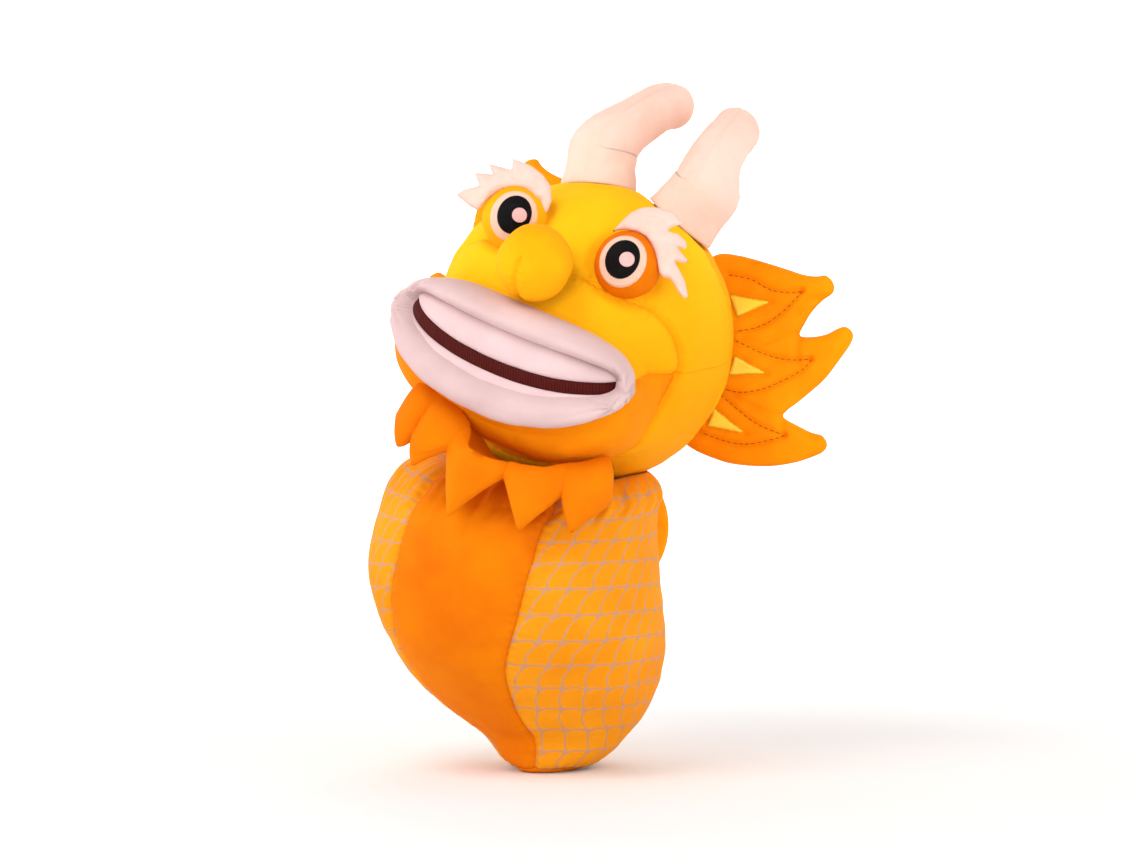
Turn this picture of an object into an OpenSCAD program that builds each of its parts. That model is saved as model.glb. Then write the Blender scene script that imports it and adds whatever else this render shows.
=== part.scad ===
// Plush dragon toy, stuffed and sewn, standing on its flat base patch.
// Units are millimetres. The origin is the centre of the flat base patch.
// +Z is up, the toy faces -Y and its own left side is +X.

/* [Pose] */
// height of the head centre above the base
head_height = 390; // [384:1:396]
// sideways offset of the head centre
head_offset = 31; // [24:1:36]
// rest lean of the head towards the toy's left
head_lean = 22; // [16:1:26]
// rest lift of the chin
chin_lift = 6; // [0:1:10]

/* [Head] */
// radius of the head ball
head_radius = 135; // [125:1:140]
// half width of the muzzle
muzzle_half_width = 118; // [108:1:124]
// half depth of the muzzle
muzzle_half_depth = 92; // [84:1:98]
// half height of the muzzle
muzzle_half_height = 62; // [54:1:68]
// height of the lip roll above the muzzle cloth
lip_height = 19; // [12:1:24]
// radius of the nose bulb
nose_radius = 33.5; // [28:0.5:35]
// radius of an eye mound
eye_radius = 29; // [25:1:30]
// loft of an eyebrow above the face
brow_height = 10; // [6:1:13]

/* [Horns] */
// radius of a horn at its foot
horn_foot_radius = 30; // [26:1:32]
// radius of a horn near its tip
horn_tip_radius = 21; // [16:1:24]

/* [Ears] */
// stuffed loft of an ear
ear_loft = 9; // [6:1:12]
// sweep of the ears towards the back
ear_sweep = 8; // [0:1:14]

/* [Frill] */
// stuffed loft of the chin frill
frill_loft = 5; // [3:0.5:7]
// drop of the middle frill spike below the head centre
frill_drop = 175; // [168:1:180]

/* [Body] */
// half width of the flat base patch
base_half_width = 28; // [24:1:34]
// half depth of the flat base patch
base_half_depth = 46; // [38:1:52]
// rim height of the body at the chest
chest_rim = 264; // [258:1:268]
// rim height of the body at the back
back_rim = 290; // [284:1:294]
// reach of the back fin from the body
fin_reach = 80; // [60:1:90]

/* [Cloth] */
// thickness of the velour and its backing
cloth = 2.4; // [1.6:0.1:3]

/* [Hidden] */
$fn = 96;
head_centre = [head_offset, 0, head_height];
swivel_gap = 1.4;
mouth_droop = 16;
mouth_half_angle = 38;
mouth_rise_angle = 11;
end_angle = 9;
orange = [0.96, 0.55, 0.04];
deep = [0.90, 0.45, 0.03];
yellow = [0.99, 0.72, 0.08];
pale = [1, 0.88, 0.35];
lilac = [0.86, 0.80, 0.86];
white = [0.95, 0.92, 0.94];
cream = [0.95, 0.82, 0.78];
maroon = [0.36, 0.05, 0.05];
black = [0.05, 0.04, 0.05];
wadding = [0.97, 0.97, 0.95];

// ---------------------------------------------------------------- helpers
function unit(v) = v / norm(v);
function clamp(v, lo, hi) = max(lo, min(hi, v));
function mix(a, b, t) = a + (b - a) * t;
function soft_max(a, b, k) =
  let (h = max(k - abs(a - b), 0) / k)
  max(a, b) + h * h * k / 4;

// three different corners, or nothing
function tri(a, b, c) = (a != b && b != c && c != a) ? [[a, b, c]] : [];
function quad(a, b, c, d) = concat(tri(a, b, c), tri(a, c, d));

// A cloth patch: outer and inner are grids of points [row][column].
// wrap closes the columns; a first or last row may shrink to one point.
module patch(outer, inner, wrap = false, first_pole = false, last_pole = false)
{
  m = len(outer) - 1;
  n = len(outer[0]) - (wrap ? 0 : 1);
  w = len(outer[0]);
  base = (m + 1) * w;
  function id(i, j) =
    i * w + ((first_pole && i == 0) || (last_pole && i == m) ? 0 : j % w);
  points = concat([for (r = outer) for (p = r) p], [for (r = inner) for (p = r) p]);
  skin = [for (i = [0 : m - 1]) for (j = [0 : n - 1])
    for (t = quad(id(i, j), id(i, j + 1), id(i + 1, j + 1), id(i + 1, j))) t];
  lining = [for (t = skin) [t[2] + base, t[1] + base, t[0] + base]];
  low = first_pole ? [] : [for (j = [0 : n - 1])
    for (t = quad(id(0, j + 1), id(0, j), id(0, j) + base, id(0, j + 1) + base)) t];
  high = last_pole ? [] : [for (j = [0 : n - 1])
    for (t = quad(id(m, j), id(m, j + 1), id(m, j + 1) + base, id(m, j) + base)) t];
  left = wrap ? [] : [for (i = [0 : m - 1])
    for (t = quad(id(i, 0), id(i + 1, 0), id(i + 1, 0) + base, id(i, 0) + base)) t];
  right = wrap ? [] : [for (i = [0 : m - 1])
    for (t = quad(id(i + 1, n), id(i, n), id(i, n) + base, id(i + 1, n) + base)) t];
  polyhedron(points, concat(skin, lining, low, high, left, right), convexity = 6);
}

// A closed body from rings whose first and last ring are single points.
module closed_rings(rings)
{
  m = len(rings) - 1;
  w = len(rings[0]);
  function id(i, j) = i * w + (i == 0 || i == m ? 0 : j % w);
  faces = [for (i = [0 : m - 1]) for (j = [0 : w - 1])
    for (t = quad(id(i, j), id(i, j + 1), id(i + 1, j + 1), id(i + 1, j))) t];
  polyhedron([for (r = rings) for (p = r) p], faces, convexity = 6);
}

// ------------------------------------------------------------- head shape
function muzzle_level(p) =
  pow(pow(abs(p.x) / muzzle_half_width, 2.4)
    + pow(abs(p.z + 46) / muzzle_half_height, 2.4), 1.25)
  + pow(abs(p.y + 72) / muzzle_half_depth, 3);
function muzzle_reach(d, lo = 0, hi = 240, n = 15) =
  n == 0 ? (lo + hi) / 2
  : muzzle_level(d * (lo + hi) / 2) < 1
    ? muzzle_reach(d, (lo + hi) / 2, hi, n - 1)
    : muzzle_reach(d, lo, (lo + hi) / 2, n - 1);
function head_reach(d) = soft_max(head_radius, muzzle_reach(d), 12);

// direction from the head centre; u and w are slopes about the mouth centre
function slope_direction(u, w) =
  let (s = 1 / sqrt(1 + u * u + w * w))
  let (v = [u * s, -s, w * s + 0.22 * u * u * s * s])
  unit([v.x, v.y * cos(mouth_droop) - v.z * sin(mouth_droop),
    v.y * sin(mouth_droop) + v.z * cos(mouth_droop)]);
function ring_direction(a, b) =
  let (v = [sin(a) * cos(b), -cos(a), sin(a) * sin(b) + 0.22 * pow(sin(a) * cos(b), 2)])
  unit([v.x, v.y * cos(mouth_droop) - v.z * sin(mouth_droop),
    v.y * sin(mouth_droop) + v.z * cos(mouth_droop)]);

// 40 sectors: three narrow ones at each mouth corner, 17 above and 17 below
top_steps = 17;
sectors = 2 * top_steps + 6;
function sector_angle(j) =
  let (k = (j + sectors) % sectors)
  k < 3 ? -end_angle + 6 * k
  : k < 3 + top_steps ? mix(end_angle, 180 - end_angle, (k - 3) / top_steps)
  : k < 6 + top_steps ? 180 - end_angle + 6 * (k - 3 - top_steps)
  : mix(180 + end_angle, 360 - end_angle, (k - 6 - top_steps) / top_steps);
corner_right = 1;
corner_left = 5 + top_steps;

// the mouth loop, in slopes
function loop_slope(b, grow) =
  [(tan(mouth_half_angle) + grow) * clamp(cos(b) / cos(end_angle), -1, 1),
   (tan(mouth_rise_angle) + grow) * sin(b)];
function loop_angle(b, grow) =
  let (s = loop_slope(b, grow)) atan(norm(s));
function loop_bearing(b, grow) =
  let (s = loop_slope(b, grow)) atan2(s.y, s.x);
lip_in = -0.035;
lip_out = 0.150;
function seam_angle(b) =
  let (u = cos(b), w = sin(b))
  w > 0 ? mix(66, 36, pow(w, 1.5)) : mix(66, 50, -w);
crown_angle = 104;

// ring stations from the lip outwards: 0..1 lip, 1..2 muzzle, 2..3 crown, 3..4 back
function head_ring_angle(s, b) =
  s <= 1 ? loop_angle(b, mix(lip_in, lip_out, s))
  : s <= 2 ? mix(loop_angle(b, lip_out), seam_angle(b), s - 1)
  : s <= 3 ? mix(seam_angle(b), crown_angle, s - 2)
  : mix(crown_angle, 180, s - 3);
function head_ring_bearing(s, b) =
  s <= 1 ? loop_bearing(b, mix(lip_in, lip_out, s))
  : s <= 2 ? mix(loop_bearing(b, lip_out) + (loop_bearing(b, lip_out) < b - 90 ? 360 : 0), b, s - 1)
  : b;
function head_direction(s, b) = ring_direction(head_ring_angle(s, b), head_ring_bearing(s, b));
function lip_swell(s) = s >= 1 || s <= 0 ? 0 : lip_height * sqrt(1 - pow(2 * s - 1, 2));

function head_point(s, j, lift) =
  let (d = head_direction(s, sector_angle(j)))
  d * (head_reach(d) + lift);
function head_rows(stations, j0, j1, lift, swell = 0) =
  [for (s = stations) [for (j = [j0 : j1]) head_point(s, j, lift + swell * lip_swell(s))]];

lip_stations = [0, 0.08, 0.25, 0.5, 0.75, 0.92, 1];
muzzle_stations = [1, 1.25, 1.5, 1.75, 2];
crown_stations = [2, 2.25, 2.5, 2.75, 3];
back_stations = [3, 3.2, 3.4, 3.6, 3.8, 4];

module head_frame() {
  translate(head_centre) rotate([-chin_lift, head_lean, 0]) children();
}
module head_patch(stations, j0, j1, last_pole = false) {
  head_frame() patch(head_rows(stations, j0, j1, 0), head_rows(stations, j0, j1, -cloth),
    last_pole = last_pole);
}

module head_filling() color(wadding) head_frame()
{
  front = [for (f = [0, 0.35, 0.7, 0.93]) [for (j = [0 : sectors - 1])
    let (s = loop_slope(sector_angle(j), lip_in) * max(f, 0.001))
    let (d = slope_direction(s.x, s.y))
    d * (head_reach(d) - cloth - 3.5)]];
  rest = head_rows(concat([0, 0.5, 1], [1.25, 1.5, 1.75, 2], [2.25, 2.5, 2.75, 3],
    [3.2, 3.4, 3.6, 3.8, 4]), 0, sectors - 1, -cloth - 0.02);
  closed_rings(concat(front, rest));
}
module back_left_panel() color(deep)
  head_patch(back_stations, back_low - sectors, back_high, last_pole = true);
module back_right_panel() color(deep)
  head_patch(back_stations, back_high, back_low, last_pole = true);
back_high = 11;
back_low = 31;
module crown_panel() color(yellow) head_patch(crown_stations, corner_right, corner_left);
module throat_panel() color(deep) head_patch(crown_stations, corner_left, corner_right + sectors);
module muzzle_panel() color(yellow) head_patch(muzzle_stations, corner_right, corner_left);
module jaw_panel() color(deep) head_patch(muzzle_stations, corner_left, corner_right + sectors);

module lip_filling() color(wadding) head_frame()
  patch(head_rows(lip_stations, 0, sectors - 1, -1.8, 1),
    head_rows(lip_stations, 0, sectors - 1, -cloth), wrap = true);
module lip_cover() color(lilac) head_frame()
  patch(head_rows(lip_stations, 0, sectors - 1, 0, 1),
    head_rows(lip_stations, 0, sectors - 1, -1.78, 1), wrap = true);

// columns run from the toy's left mouth corner to its right one
function mouth_slope(c, v) =
  let (t = clamp(c, 0, top_steps))
  let (s = loop_slope(mix(end_angle, 180 - end_angle, t / top_steps), lip_in))
  [s.x, s.y * v];
// band edges: 0 bottom, 1 and 2 the strip, 3 top
function band(c, k) =
  let (s = mouth_slope(c, 1))
  let (mid = clamp(0.012 / s.y, 0.02, 0.333))
  k == 0 ? -1 : k == 1 ? -mid - 0.045 / s.y * edge_fade(c)
  : k == 2 ? mid * (c == 0 || c == top_steps ? 1 : 0.6) : 1;
function edge_fade(c) = c == 0 || c == top_steps ? 0 : 1;
function mouth_rows(k0, k1, steps, lift) =
  [for (i = [0 : steps]) [for (c = [0 : top_steps])
    let (s = mouth_slope(c, mix(band(c, k0), band(c, k1), i / steps)))
    let (d = slope_direction(s.x, s.y))
    d * (head_reach(d) + lift)]];
module mouth_patch(k0, k1, steps) {
  head_frame() patch(mouth_rows(k0, k1, steps, -0.6), mouth_rows(k0, k1, steps, -cloth));
}
module upper_teeth_panel() color(white) mouth_patch(2, 3, 4);
module lower_teeth_panel() color(white) mouth_patch(0, 1, 4);
module mouth_strip() color(maroon) mouth_patch(1, 2, 1);

// ---------------------------------------------- raised pieces on the head
// a frame of directions about the point at bearing az and elevation el
function about(az, el, rho, gam) =
  let (f = [sin(az) * cos(el), -cos(az) * cos(el), sin(el)])
  let (r = [cos(az), sin(az), 0])
  let (u = cross(r, f) * -1)
  unit(f * cos(rho) + (r * cos(gam) + u * sin(gam)) * sin(rho));
nose_place = [0, -158, 43];
// a frame at the head centre whose Z axis runs out through p
module out_through(p) {
  head_frame() rotate([0, acos(unit(p).z), atan2(p.y, p.x)]) children();
}
// a stuffed ball at p, cut off by the head ball
module ball_on_head(p, r, skin) out_through(p) difference() {
  translate([0, 0, norm(p)]) sphere(r = r);
  sphere(r = head_radius + 0.6);
  if (skin > 0) translate([0, 0, norm(p)]) sphere(r = r - skin);
}
module nose_filling() color(wadding) ball_on_head(nose_place, nose_radius - cloth - 0.05, 0);
module nose_cover() color(orange) ball_on_head(nose_place, nose_radius, cloth);

eye_place = [57, -105, 71];
eye_az = 28.5;
eye_el = 30.7;
eye_aim_left = 9;
eye_aim_right = 20;
eye_lift = 4;
module eye_frame(side) {
  head_frame() translate([side * eye_place.x, eye_place.y, eye_place.z])
    rotate([90 - eye_lift, 0, side > 0 ? eye_aim_left : eye_aim_right]) children();
}
module eye_mound(side) color(orange)
  ball_on_head([side * eye_place.x, eye_place.y, eye_place.z], eye_radius, 0);
// a round of cloth lying on the dome
module eye_disc(side, lift, thick, r, right = 0, up = 0) eye_frame(side) intersection() {
  difference() {
    sphere(r = eye_radius + lift + thick);
    sphere(r = eye_radius + lift);
  }
  translate([right, up, 10]) cylinder(h = eye_radius, r = r);
}
module eye_white(side) color(cream) eye_disc(side, 0.2, 1.4, 20.5);
module iris(side) color(black) eye_disc(side, 1.8, 0.9, 15, 0.5, 1);
module highlight(side) color(cream) eye_disc(side, 2.9, 0.7, 6.4, 5, 2);
module left_eye_mound() eye_mound(1);
module left_eye_white() eye_white(1);
module left_iris() iris(1);
module left_highlight() highlight(1);
module right_eye_mound() eye_mound(-1);
module right_eye_white() eye_white(-1);
module right_iris() iris(-1);
module right_highlight() highlight(-1);

// eyebrow: a jagged crescent over the outer top of the eye
brow_cuts = [0.9, 0.5, 0.35, 1, 0.55, 0.35, 0.95, 0.4, 0.8, 0.35, 0.3, 0.2, 0];
function brow_edge(j) = 15.5 + 7.5 * brow_cuts[j];
brow_last = len(brow_cuts) - 1;
function brow_bearing(side, j) =
  side > 0 ? mix(-12, 138, j / brow_last) : mix(42, 192, j / brow_last);
function brow_cut(side, j) = side > 0 ? brow_edge(j) : brow_edge(brow_last - j);
function brow_row(side, f, lift) = [for (j = [0 : brow_last])
  let (d = about(side * eye_az, eye_el, mix(12.9, brow_cut(side, j), f), brow_bearing(side, j)))
  d * (head_reach(d) + 0.7 + lift)];
module eyebrow(side) color(cream) head_frame() patch(
  [brow_row(side, 0, 2), brow_row(side, 0.15, brow_height - 2), brow_row(side, 0.5, brow_height),
    brow_row(side, 0.85, brow_height * 0.6), brow_row(side, 1, 1.5)],
  [for (f = [0, 0.15, 0.5, 0.85, 1]) brow_row(side, f, 0)]);
module left_eyebrow() eyebrow(1);
module right_eyebrow() eyebrow(-1);

// ------------------------------------------------------------------ horns
horn_way = unit([41, 4, 122]);
horn_foot = horn_way * (head_radius + 1.2 + horn_foot_radius);
horn_seat_depth = 14;
module horn_frame(side) {
  head_frame() mirror([side < 0 ? 1 : 0, 0, 0]) translate(horn_foot) children();
}
// centre line of a horn above its foot: up, then leaning to the back
function horn_spine(t) = [-18 * t, 60 * pow(t, 1.6), 84 * t - 20 * t * t];
function horn_heading(t) = unit([-18, 96 * pow(max(t, 0.0001), 0.6), 84 - 40 * t]);
function horn_width(t, skin) =
  horn_tip_radius + (horn_foot_radius - horn_tip_radius) * pow(1 - t, 3) - skin;
function horn_ring(c, h, r, n = 24) =
  let (b = unit(cross(h, [1, 0, 0])), a = cross(b, h))
  [for (j = [0 : n - 1]) c + r * (cos(-360 * j / n) * a + sin(-360 * j / n) * b)];
function horn_rings(skin) =
  let (h0 = horn_heading(0), h1 = horn_heading(1))
  let (r0 = horn_width(0, skin), r1 = horn_width(1, skin))
  concat([for (a = [90, 70, 50, 32, 15])
      horn_ring(-h0 * r0 * sin(a), h0, r0 * max(cos(a), 0.0001))],
    [for (k = [0 : 9]) horn_ring(horn_spine(k / 9), horn_heading(k / 9), horn_width(k / 9, skin))],
    [for (a = [25, 50, 72, 90])
      horn_ring(horn_spine(1) + h1 * r1 * sin(a), h1, r1 * max(cos(a), 0.0001))]);
module horn_filling(side) color(wadding) horn_frame(side) closed_rings(horn_rings(cloth + 0.05));
module horn_cover(side) color(cream) horn_frame(side) difference() {
  closed_rings(horn_rings(0));
  closed_rings(horn_rings(cloth));
}
module horn_seat(side) color(yellow)
  out_through([side * horn_way.x, horn_way.y, horn_way.z]) difference() {
    translate([0, 0, head_radius - 6])
      cylinder(h = 7 + horn_seat_depth, r = horn_foot_radius + 2.6);
    sphere(r = head_radius + 0.6);
    translate([0, 0, norm(horn_foot)]) sphere(r = horn_foot_radius + 0.9);
  }
module left_horn_seat() horn_seat(1);
module right_horn_seat() horn_seat(-1);
module left_horn_filling() horn_filling(1);
module left_horn_cover() horn_cover(1);
module right_horn_filling() horn_filling(-1);
module right_horn_cover() horn_cover(-1);

// ------------------------------------------------------------------ frill
spike_places = [-54, -34, 15, 74, 112];
spike_ends = [-133, -141, -frill_drop + 8, -155, -141];
frill_left = -70;
frill_right = 128;
function frill_rim(x) = -102 - 11 * (1 - pow((x - 30) / 100, 2));
function spike_gap(k, x) = abs(x - spike_places[k])
  / (x < spike_places[k] ? (k == 0 ? 16 : (spike_places[k] - spike_places[k - 1]) / 2)
    : (k == 4 ? 16 : (spike_places[k + 1] - spike_places[k]) / 2));
function frill_edge(x) =
  let (k = [for (i = [0 : 4]) if (spike_gap(i, x) <= 1) i])
  len(k) == 0 ? frill_rim(x) - 4
  : mix(spike_ends[k[0]], frill_rim(x) - 4, pow(spike_gap(k[0], x), 0.8));
function frill_front(x) = -167 + 22 * pow((x - 8) / 95, 2);
frill_columns = [-70, -62, -54, -49, -44, -39, -34, -24, -14, -6, 0, 8, 15, 22, 30, 38, 44.5,
  52, 60, 68, 74, 80, 88, 93, 100, 106, 112, 120, 128];
function frill_rows(lift) =
  [for (f = [0, 0.35, 0.7, 1, 1.4, 1.75, 2]) [for (x = frill_columns)
    let (y0 = frill_front(x), q = min(f, 1))
    f <= 1
      ? [x * mix(0.9, 1, q), mix(-118, y0, sin(q * 90)) - lift * sin(q * 90),
         mix(-113 + 0.0022 * x * x, frill_rim(x), q * q) - lift * cos(q * 90)]
      : [x, y0 - lift * mix(1, 0.5, f - 1), mix(frill_rim(x), frill_edge(x), f - 1)]]];
module frill_frame() {
  translate(head_centre) rotate([0, head_lean, 0]) children();
}
module frill_front_cloth() color(orange) frill_frame()
  patch(frill_rows(frill_loft + cloth), frill_rows(frill_loft + 1.2));
module frill_filling() color(wadding) frill_frame()
  patch(frill_rows(frill_loft + 1.18), frill_rows(1.42));
module frill_back_cloth() color(deep) frill_frame()
  patch(frill_rows(1.4), frill_rows(0));

// ------------------------------------------------------------------- ears
ear_plane = 95;
root_radius = 107;
// points along an edge from a to b that bows outwards by rise
function bow(a, b, rise, n = 6) =
  let (d = b - a)
  let (q = [-d.y, d.x] / norm(d))
  [for (i = [0 : n - 1]) a + d * i / n + q * rise * sin(180 * i / n)];
function root_arc(a0, a1, n = 8) =
  [for (i = [0 : n - 1]) root_radius * [cos(mix(a0, a1, i / n)), sin(mix(a0, a1, i / n))]];
function tip_round(p, a, r = 8) = [for (i = [0 : 4]) p + r * [cos(a + 60 - 30 * i), sin(a + 60 - 30 * i)]];
root_low = -33;
root_high = 59;
function ear_outline() = concat(
  root_arc(root_low, root_high),
  bow(root_radius * [cos(root_high), sin(root_high)], [66, 115], 2, 2),
  bow([66, 115], [155, 132], -2),
  tip_round([159, 125], 35),
  bow([164, 116], [155, 72], -2),
  bow([155, 72], [188, 95], 1),
  tip_round([193, 88], 35),
  bow([199, 78], [170, -1], 4),
  bow([170, -1], [209, -3], 1),
  tip_round([209, -12], -10),
  bow([211, -21], [104, -60], 14),
  bow([104, -60], root_radius * [cos(root_low), sin(root_low)], 0, 2));
function shrink(p, c, k) = c + (p - c) * k;
module ear_frame(side) {
  head_frame() mirror([side < 0 ? 1 : 0, 0, 0])
    translate([root_radius * cos(9), ear_plane, 0]) rotate([0, 0, ear_sweep])
    translate([-root_radius * cos(9), 0, 0]) rotate([90, 0, 0]) children();
}
module ear_sheet(z0, thick) {
  translate([0, 0, z0]) linear_extrude(thick) polygon(ear_outline());
}
module ear_filling(side) color(wadding) ear_frame(side) translate([0, 0, -ear_loft / 2])
  linear_extrude(ear_loft) polygon([for (p = ear_outline()) shrink(p, [132, 38], 0.955)]);
module ear_front(side) color(orange) ear_frame(side) ear_sheet(ear_loft / 2, cloth);
module ear_back(side) color(deep) ear_frame(side) ear_sheet(-ear_loft / 2 - cloth, cloth);
module inset(side, pts) color(pale) ear_frame(side)
  translate([0, 0, ear_loft / 2 + cloth]) linear_extrude(1) polygon(pts);
module inset_upper(side) inset(side, [[85, 82], [120, 91], [96, 67]]);
module inset_middle(side) inset(side, [[110, 31], [141, 30], [111, 16]]);
module inset_lower(side) inset(side, [[110, -18], [145, -27], [110, -34]]);
module left_ear_filling() ear_filling(1);
module left_ear_front() ear_front(1);
module left_ear_back() ear_back(1);
module left_inset_upper() inset_upper(1);
module left_inset_middle() inset_middle(1);
module left_inset_lower() inset_lower(1);
module right_ear_filling() ear_filling(-1);
module right_ear_front() ear_front(-1);
module right_ear_back() ear_back(-1);
module right_inset_upper() inset_upper(-1);
module right_inset_middle() inset_middle(-1);
module right_inset_lower() inset_lower(-1);

// ------------------------------------------------------------------- body
body_radius = [[0, 0], [9, 33], [19, 48], [32, 71], [53, 92], [76, 108], [104, 121],
  [130, 127], [161, 129], [187, 129], [218, 126], [248, 122], [281, 116]];
body_x = [[0, 0], [19, 0], [32, -2], [53, -10], [76, -13], [104, -16], [130, -18],
  [161, -20], [218, -19], [248, -16], [281, -8]];
body_y = [[0, 0], [9, 5], [19, 12], [32, 14], [53, 11], [76, 0], [104, -13], [130, -24],
  [161, -32], [187, -39], [218, -37], [248, -34], [281, -16]];
body_twist = [[0, -23], [45, -23], [92, -18], [137, -7], [188, 2], [260, 6], [290, 6]];
body_sectors = 36;
side_levels = [3, 10, 19, 32, 53, 76, 104, 130, 161, 187, 218, 240, 262];
function body_bearing(z, j) = -90 + lookup(z, body_twist) + 360 * j / body_sectors;
function rim_height(b) =
  mix(chest_rim - 24 * cos(b), back_rim - 12 * cos(b), (1 + sin(b)) / 2);
function settle(z, b) = z < 187 ? z : 187 + (z - 187) * (rim_height(b) - 187) / (back_rim - 187);
// the shallow dish the head ball sits in
function dish(x, y, skin) =
  let (q = norm([x - head_centre.x, y - head_centre.y]))
  let (r = head_radius + swivel_gap + skin)
  q < r - 1 ? head_centre.z - sqrt(r * r - q * q) : 1000;
function side_point(z, j, skin) =
  let (b = body_bearing(z, j))
  let (f = clamp(z / 32, 0, 1))
  let (round = z < 32 ? [mix(base_half_width, lookup(32, body_radius), pow(f, 0.75)),
      mix(base_half_depth, lookup(32, body_radius), pow(f, 0.75))]
    : [lookup(z, body_radius), lookup(z, body_radius)])
  [lookup(z, body_x) + (round.x - skin) * cos(b), lookup(z, body_y) + (round.y - skin) * sin(b),
    settle(z, b)];
function body_side(skin) = [for (i = [len(side_levels) - 1 : -1 : 0])
  [for (j = [0 : body_sectors]) side_point(side_levels[i], j, skin)]];
// rim and dish rings: fraction of the radius and rise towards the rim
top_rings = [[0.985, 274], [0.955, 282], [0.90, 287], [0.80, 288], [0.66, 288], [0.5, 288], [0.34, 288], [0.17, 288], [0, 288]];
function top_point(k, j, skin) =
  let (b = body_bearing(262, j))
  let (c = [mix(-8, head_centre.x - 12, 1 - top_rings[k][0]), mix(-16, 0, 1 - top_rings[k][0])])
  let (r = (119 - skin) * top_rings[k][0])
  let (x = c.x + r * cos(b), y = c.y + r * sin(b))
  [x, y, min(settle(top_rings[k][1], b) - skin, dish(x, y, skin))];
function body_top(skin) = [for (k = [len(top_rings) - 1 : -1 : 0])
  [for (j = [0 : body_sectors]) top_point(k, j, skin)]];
function body_foot(skin) =
  [[for (j = [0 : body_sectors]) let (b = body_bearing(0, j))
    [(base_half_width - skin) * cos(b), (base_half_depth - skin) * sin(b), skin]],
   [for (j = [0 : body_sectors]) [0, 0, skin]]];
function columns(rows, j0, j1) = [for (r = rows) [for (j = [j0 : j1]) r[j % body_sectors]]];
function all_columns(rows) = columns(rows, 0, body_sectors - 1);
function first_row(rows) = [rows[0]];
function last_row(rows) = [rows[len(rows) - 1]];

module side_patch(j0, j1) {
  patch(columns(body_side(0), j0, j1), columns(body_side(cloth), j0, j1));
}
module belly_panel() color(orange) side_patch(33, 39);
module left_side_panel() color(yellow) side_patch(3, 18);
module right_side_panel() color(yellow) side_patch(18, 33);
module base_panel() color(deep)
  patch(all_columns(concat(last_row(body_side(0)), body_foot(0))),
    all_columns(concat(last_row(body_side(cloth)), body_foot(cloth))), wrap = true, last_pole = true);
module neck_panel() color(orange)
  patch(all_columns(concat(body_top(0), first_row(body_side(0)))),
    all_columns(concat(body_top(cloth), first_row(body_side(cloth)))), wrap = true, first_pole = true);
module torso_filling() color(wadding)
  closed_rings(all_columns(concat(body_top(cloth + 0.02), body_side(cloth + 0.02),
    body_foot(cloth + 0.02))));

// --------------------------------------------------------------- back fin
fin_bearing = 52;
fin_root = [3, 88, 213];
fin_round = 62;
fin_loft = 7;
// the root edge stands clear of the body through the whole bend
fin_root_edge = [[27, 55], [16, 42], [9, 32], [7.5, 22], [7, -20], [9.8, -32], [13.6, -44], [18.6, -60]];
function fin_outline(skin) = concat(
  [for (k = [0 : 28]) let (a = -86 + 158 * k / 28)
    [fin_reach - fin_round + (fin_round - skin) * cos(a), (fin_round - skin) * sin(a)]],
  [for (p = fin_root_edge) [p.x + skin, p.y]]);
module fin_frame() translate(fin_root) rotate([90, 0, fin_bearing]) children();
module fin_filling() color(wadding) fin_frame() translate([0, 0, -fin_loft / 2])
  linear_extrude(fin_loft) polygon(fin_outline(3));
module fin_left_cloth() color(orange) fin_frame() translate([0, 0, -fin_loft / 2 - cloth])
  linear_extrude(cloth) polygon(fin_outline(0));
module fin_right_cloth() color(deep) fin_frame() translate([0, 0, fin_loft / 2])
  linear_extrude(cloth) polygon(fin_outline(0));

torso_filling();
belly_panel();
left_side_panel();
right_side_panel();
base_panel();
neck_panel();
fin_filling();
fin_left_cloth();
fin_right_cloth();
head_filling();
back_left_panel();
back_right_panel();
crown_panel();
throat_panel();
muzzle_panel();
jaw_panel();
lip_filling();
lip_cover();
upper_teeth_panel();
lower_teeth_panel();
mouth_strip();
nose_filling();
nose_cover();
left_eye_mound();
left_eye_white();
left_iris();
left_highlight();
right_eye_mound();
right_eye_white();
right_iris();
right_highlight();
left_eyebrow();
right_eyebrow();
left_horn_seat();
right_horn_seat();
left_horn_filling();
left_horn_cover();
right_horn_filling();
right_horn_cover();
frill_filling();
frill_front_cloth();
frill_back_cloth();
left_ear_filling();
left_ear_front();
left_ear_back();
left_inset_upper();
left_inset_middle();
left_inset_lower();
right_ear_filling();
right_ear_front();
right_ear_back();
right_inset_upper();
right_inset_middle();
right_inset_lower();
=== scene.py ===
import math

import bmesh
import bpy
import numpy as np
from mathutils import Matrix, Vector, geometry


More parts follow.
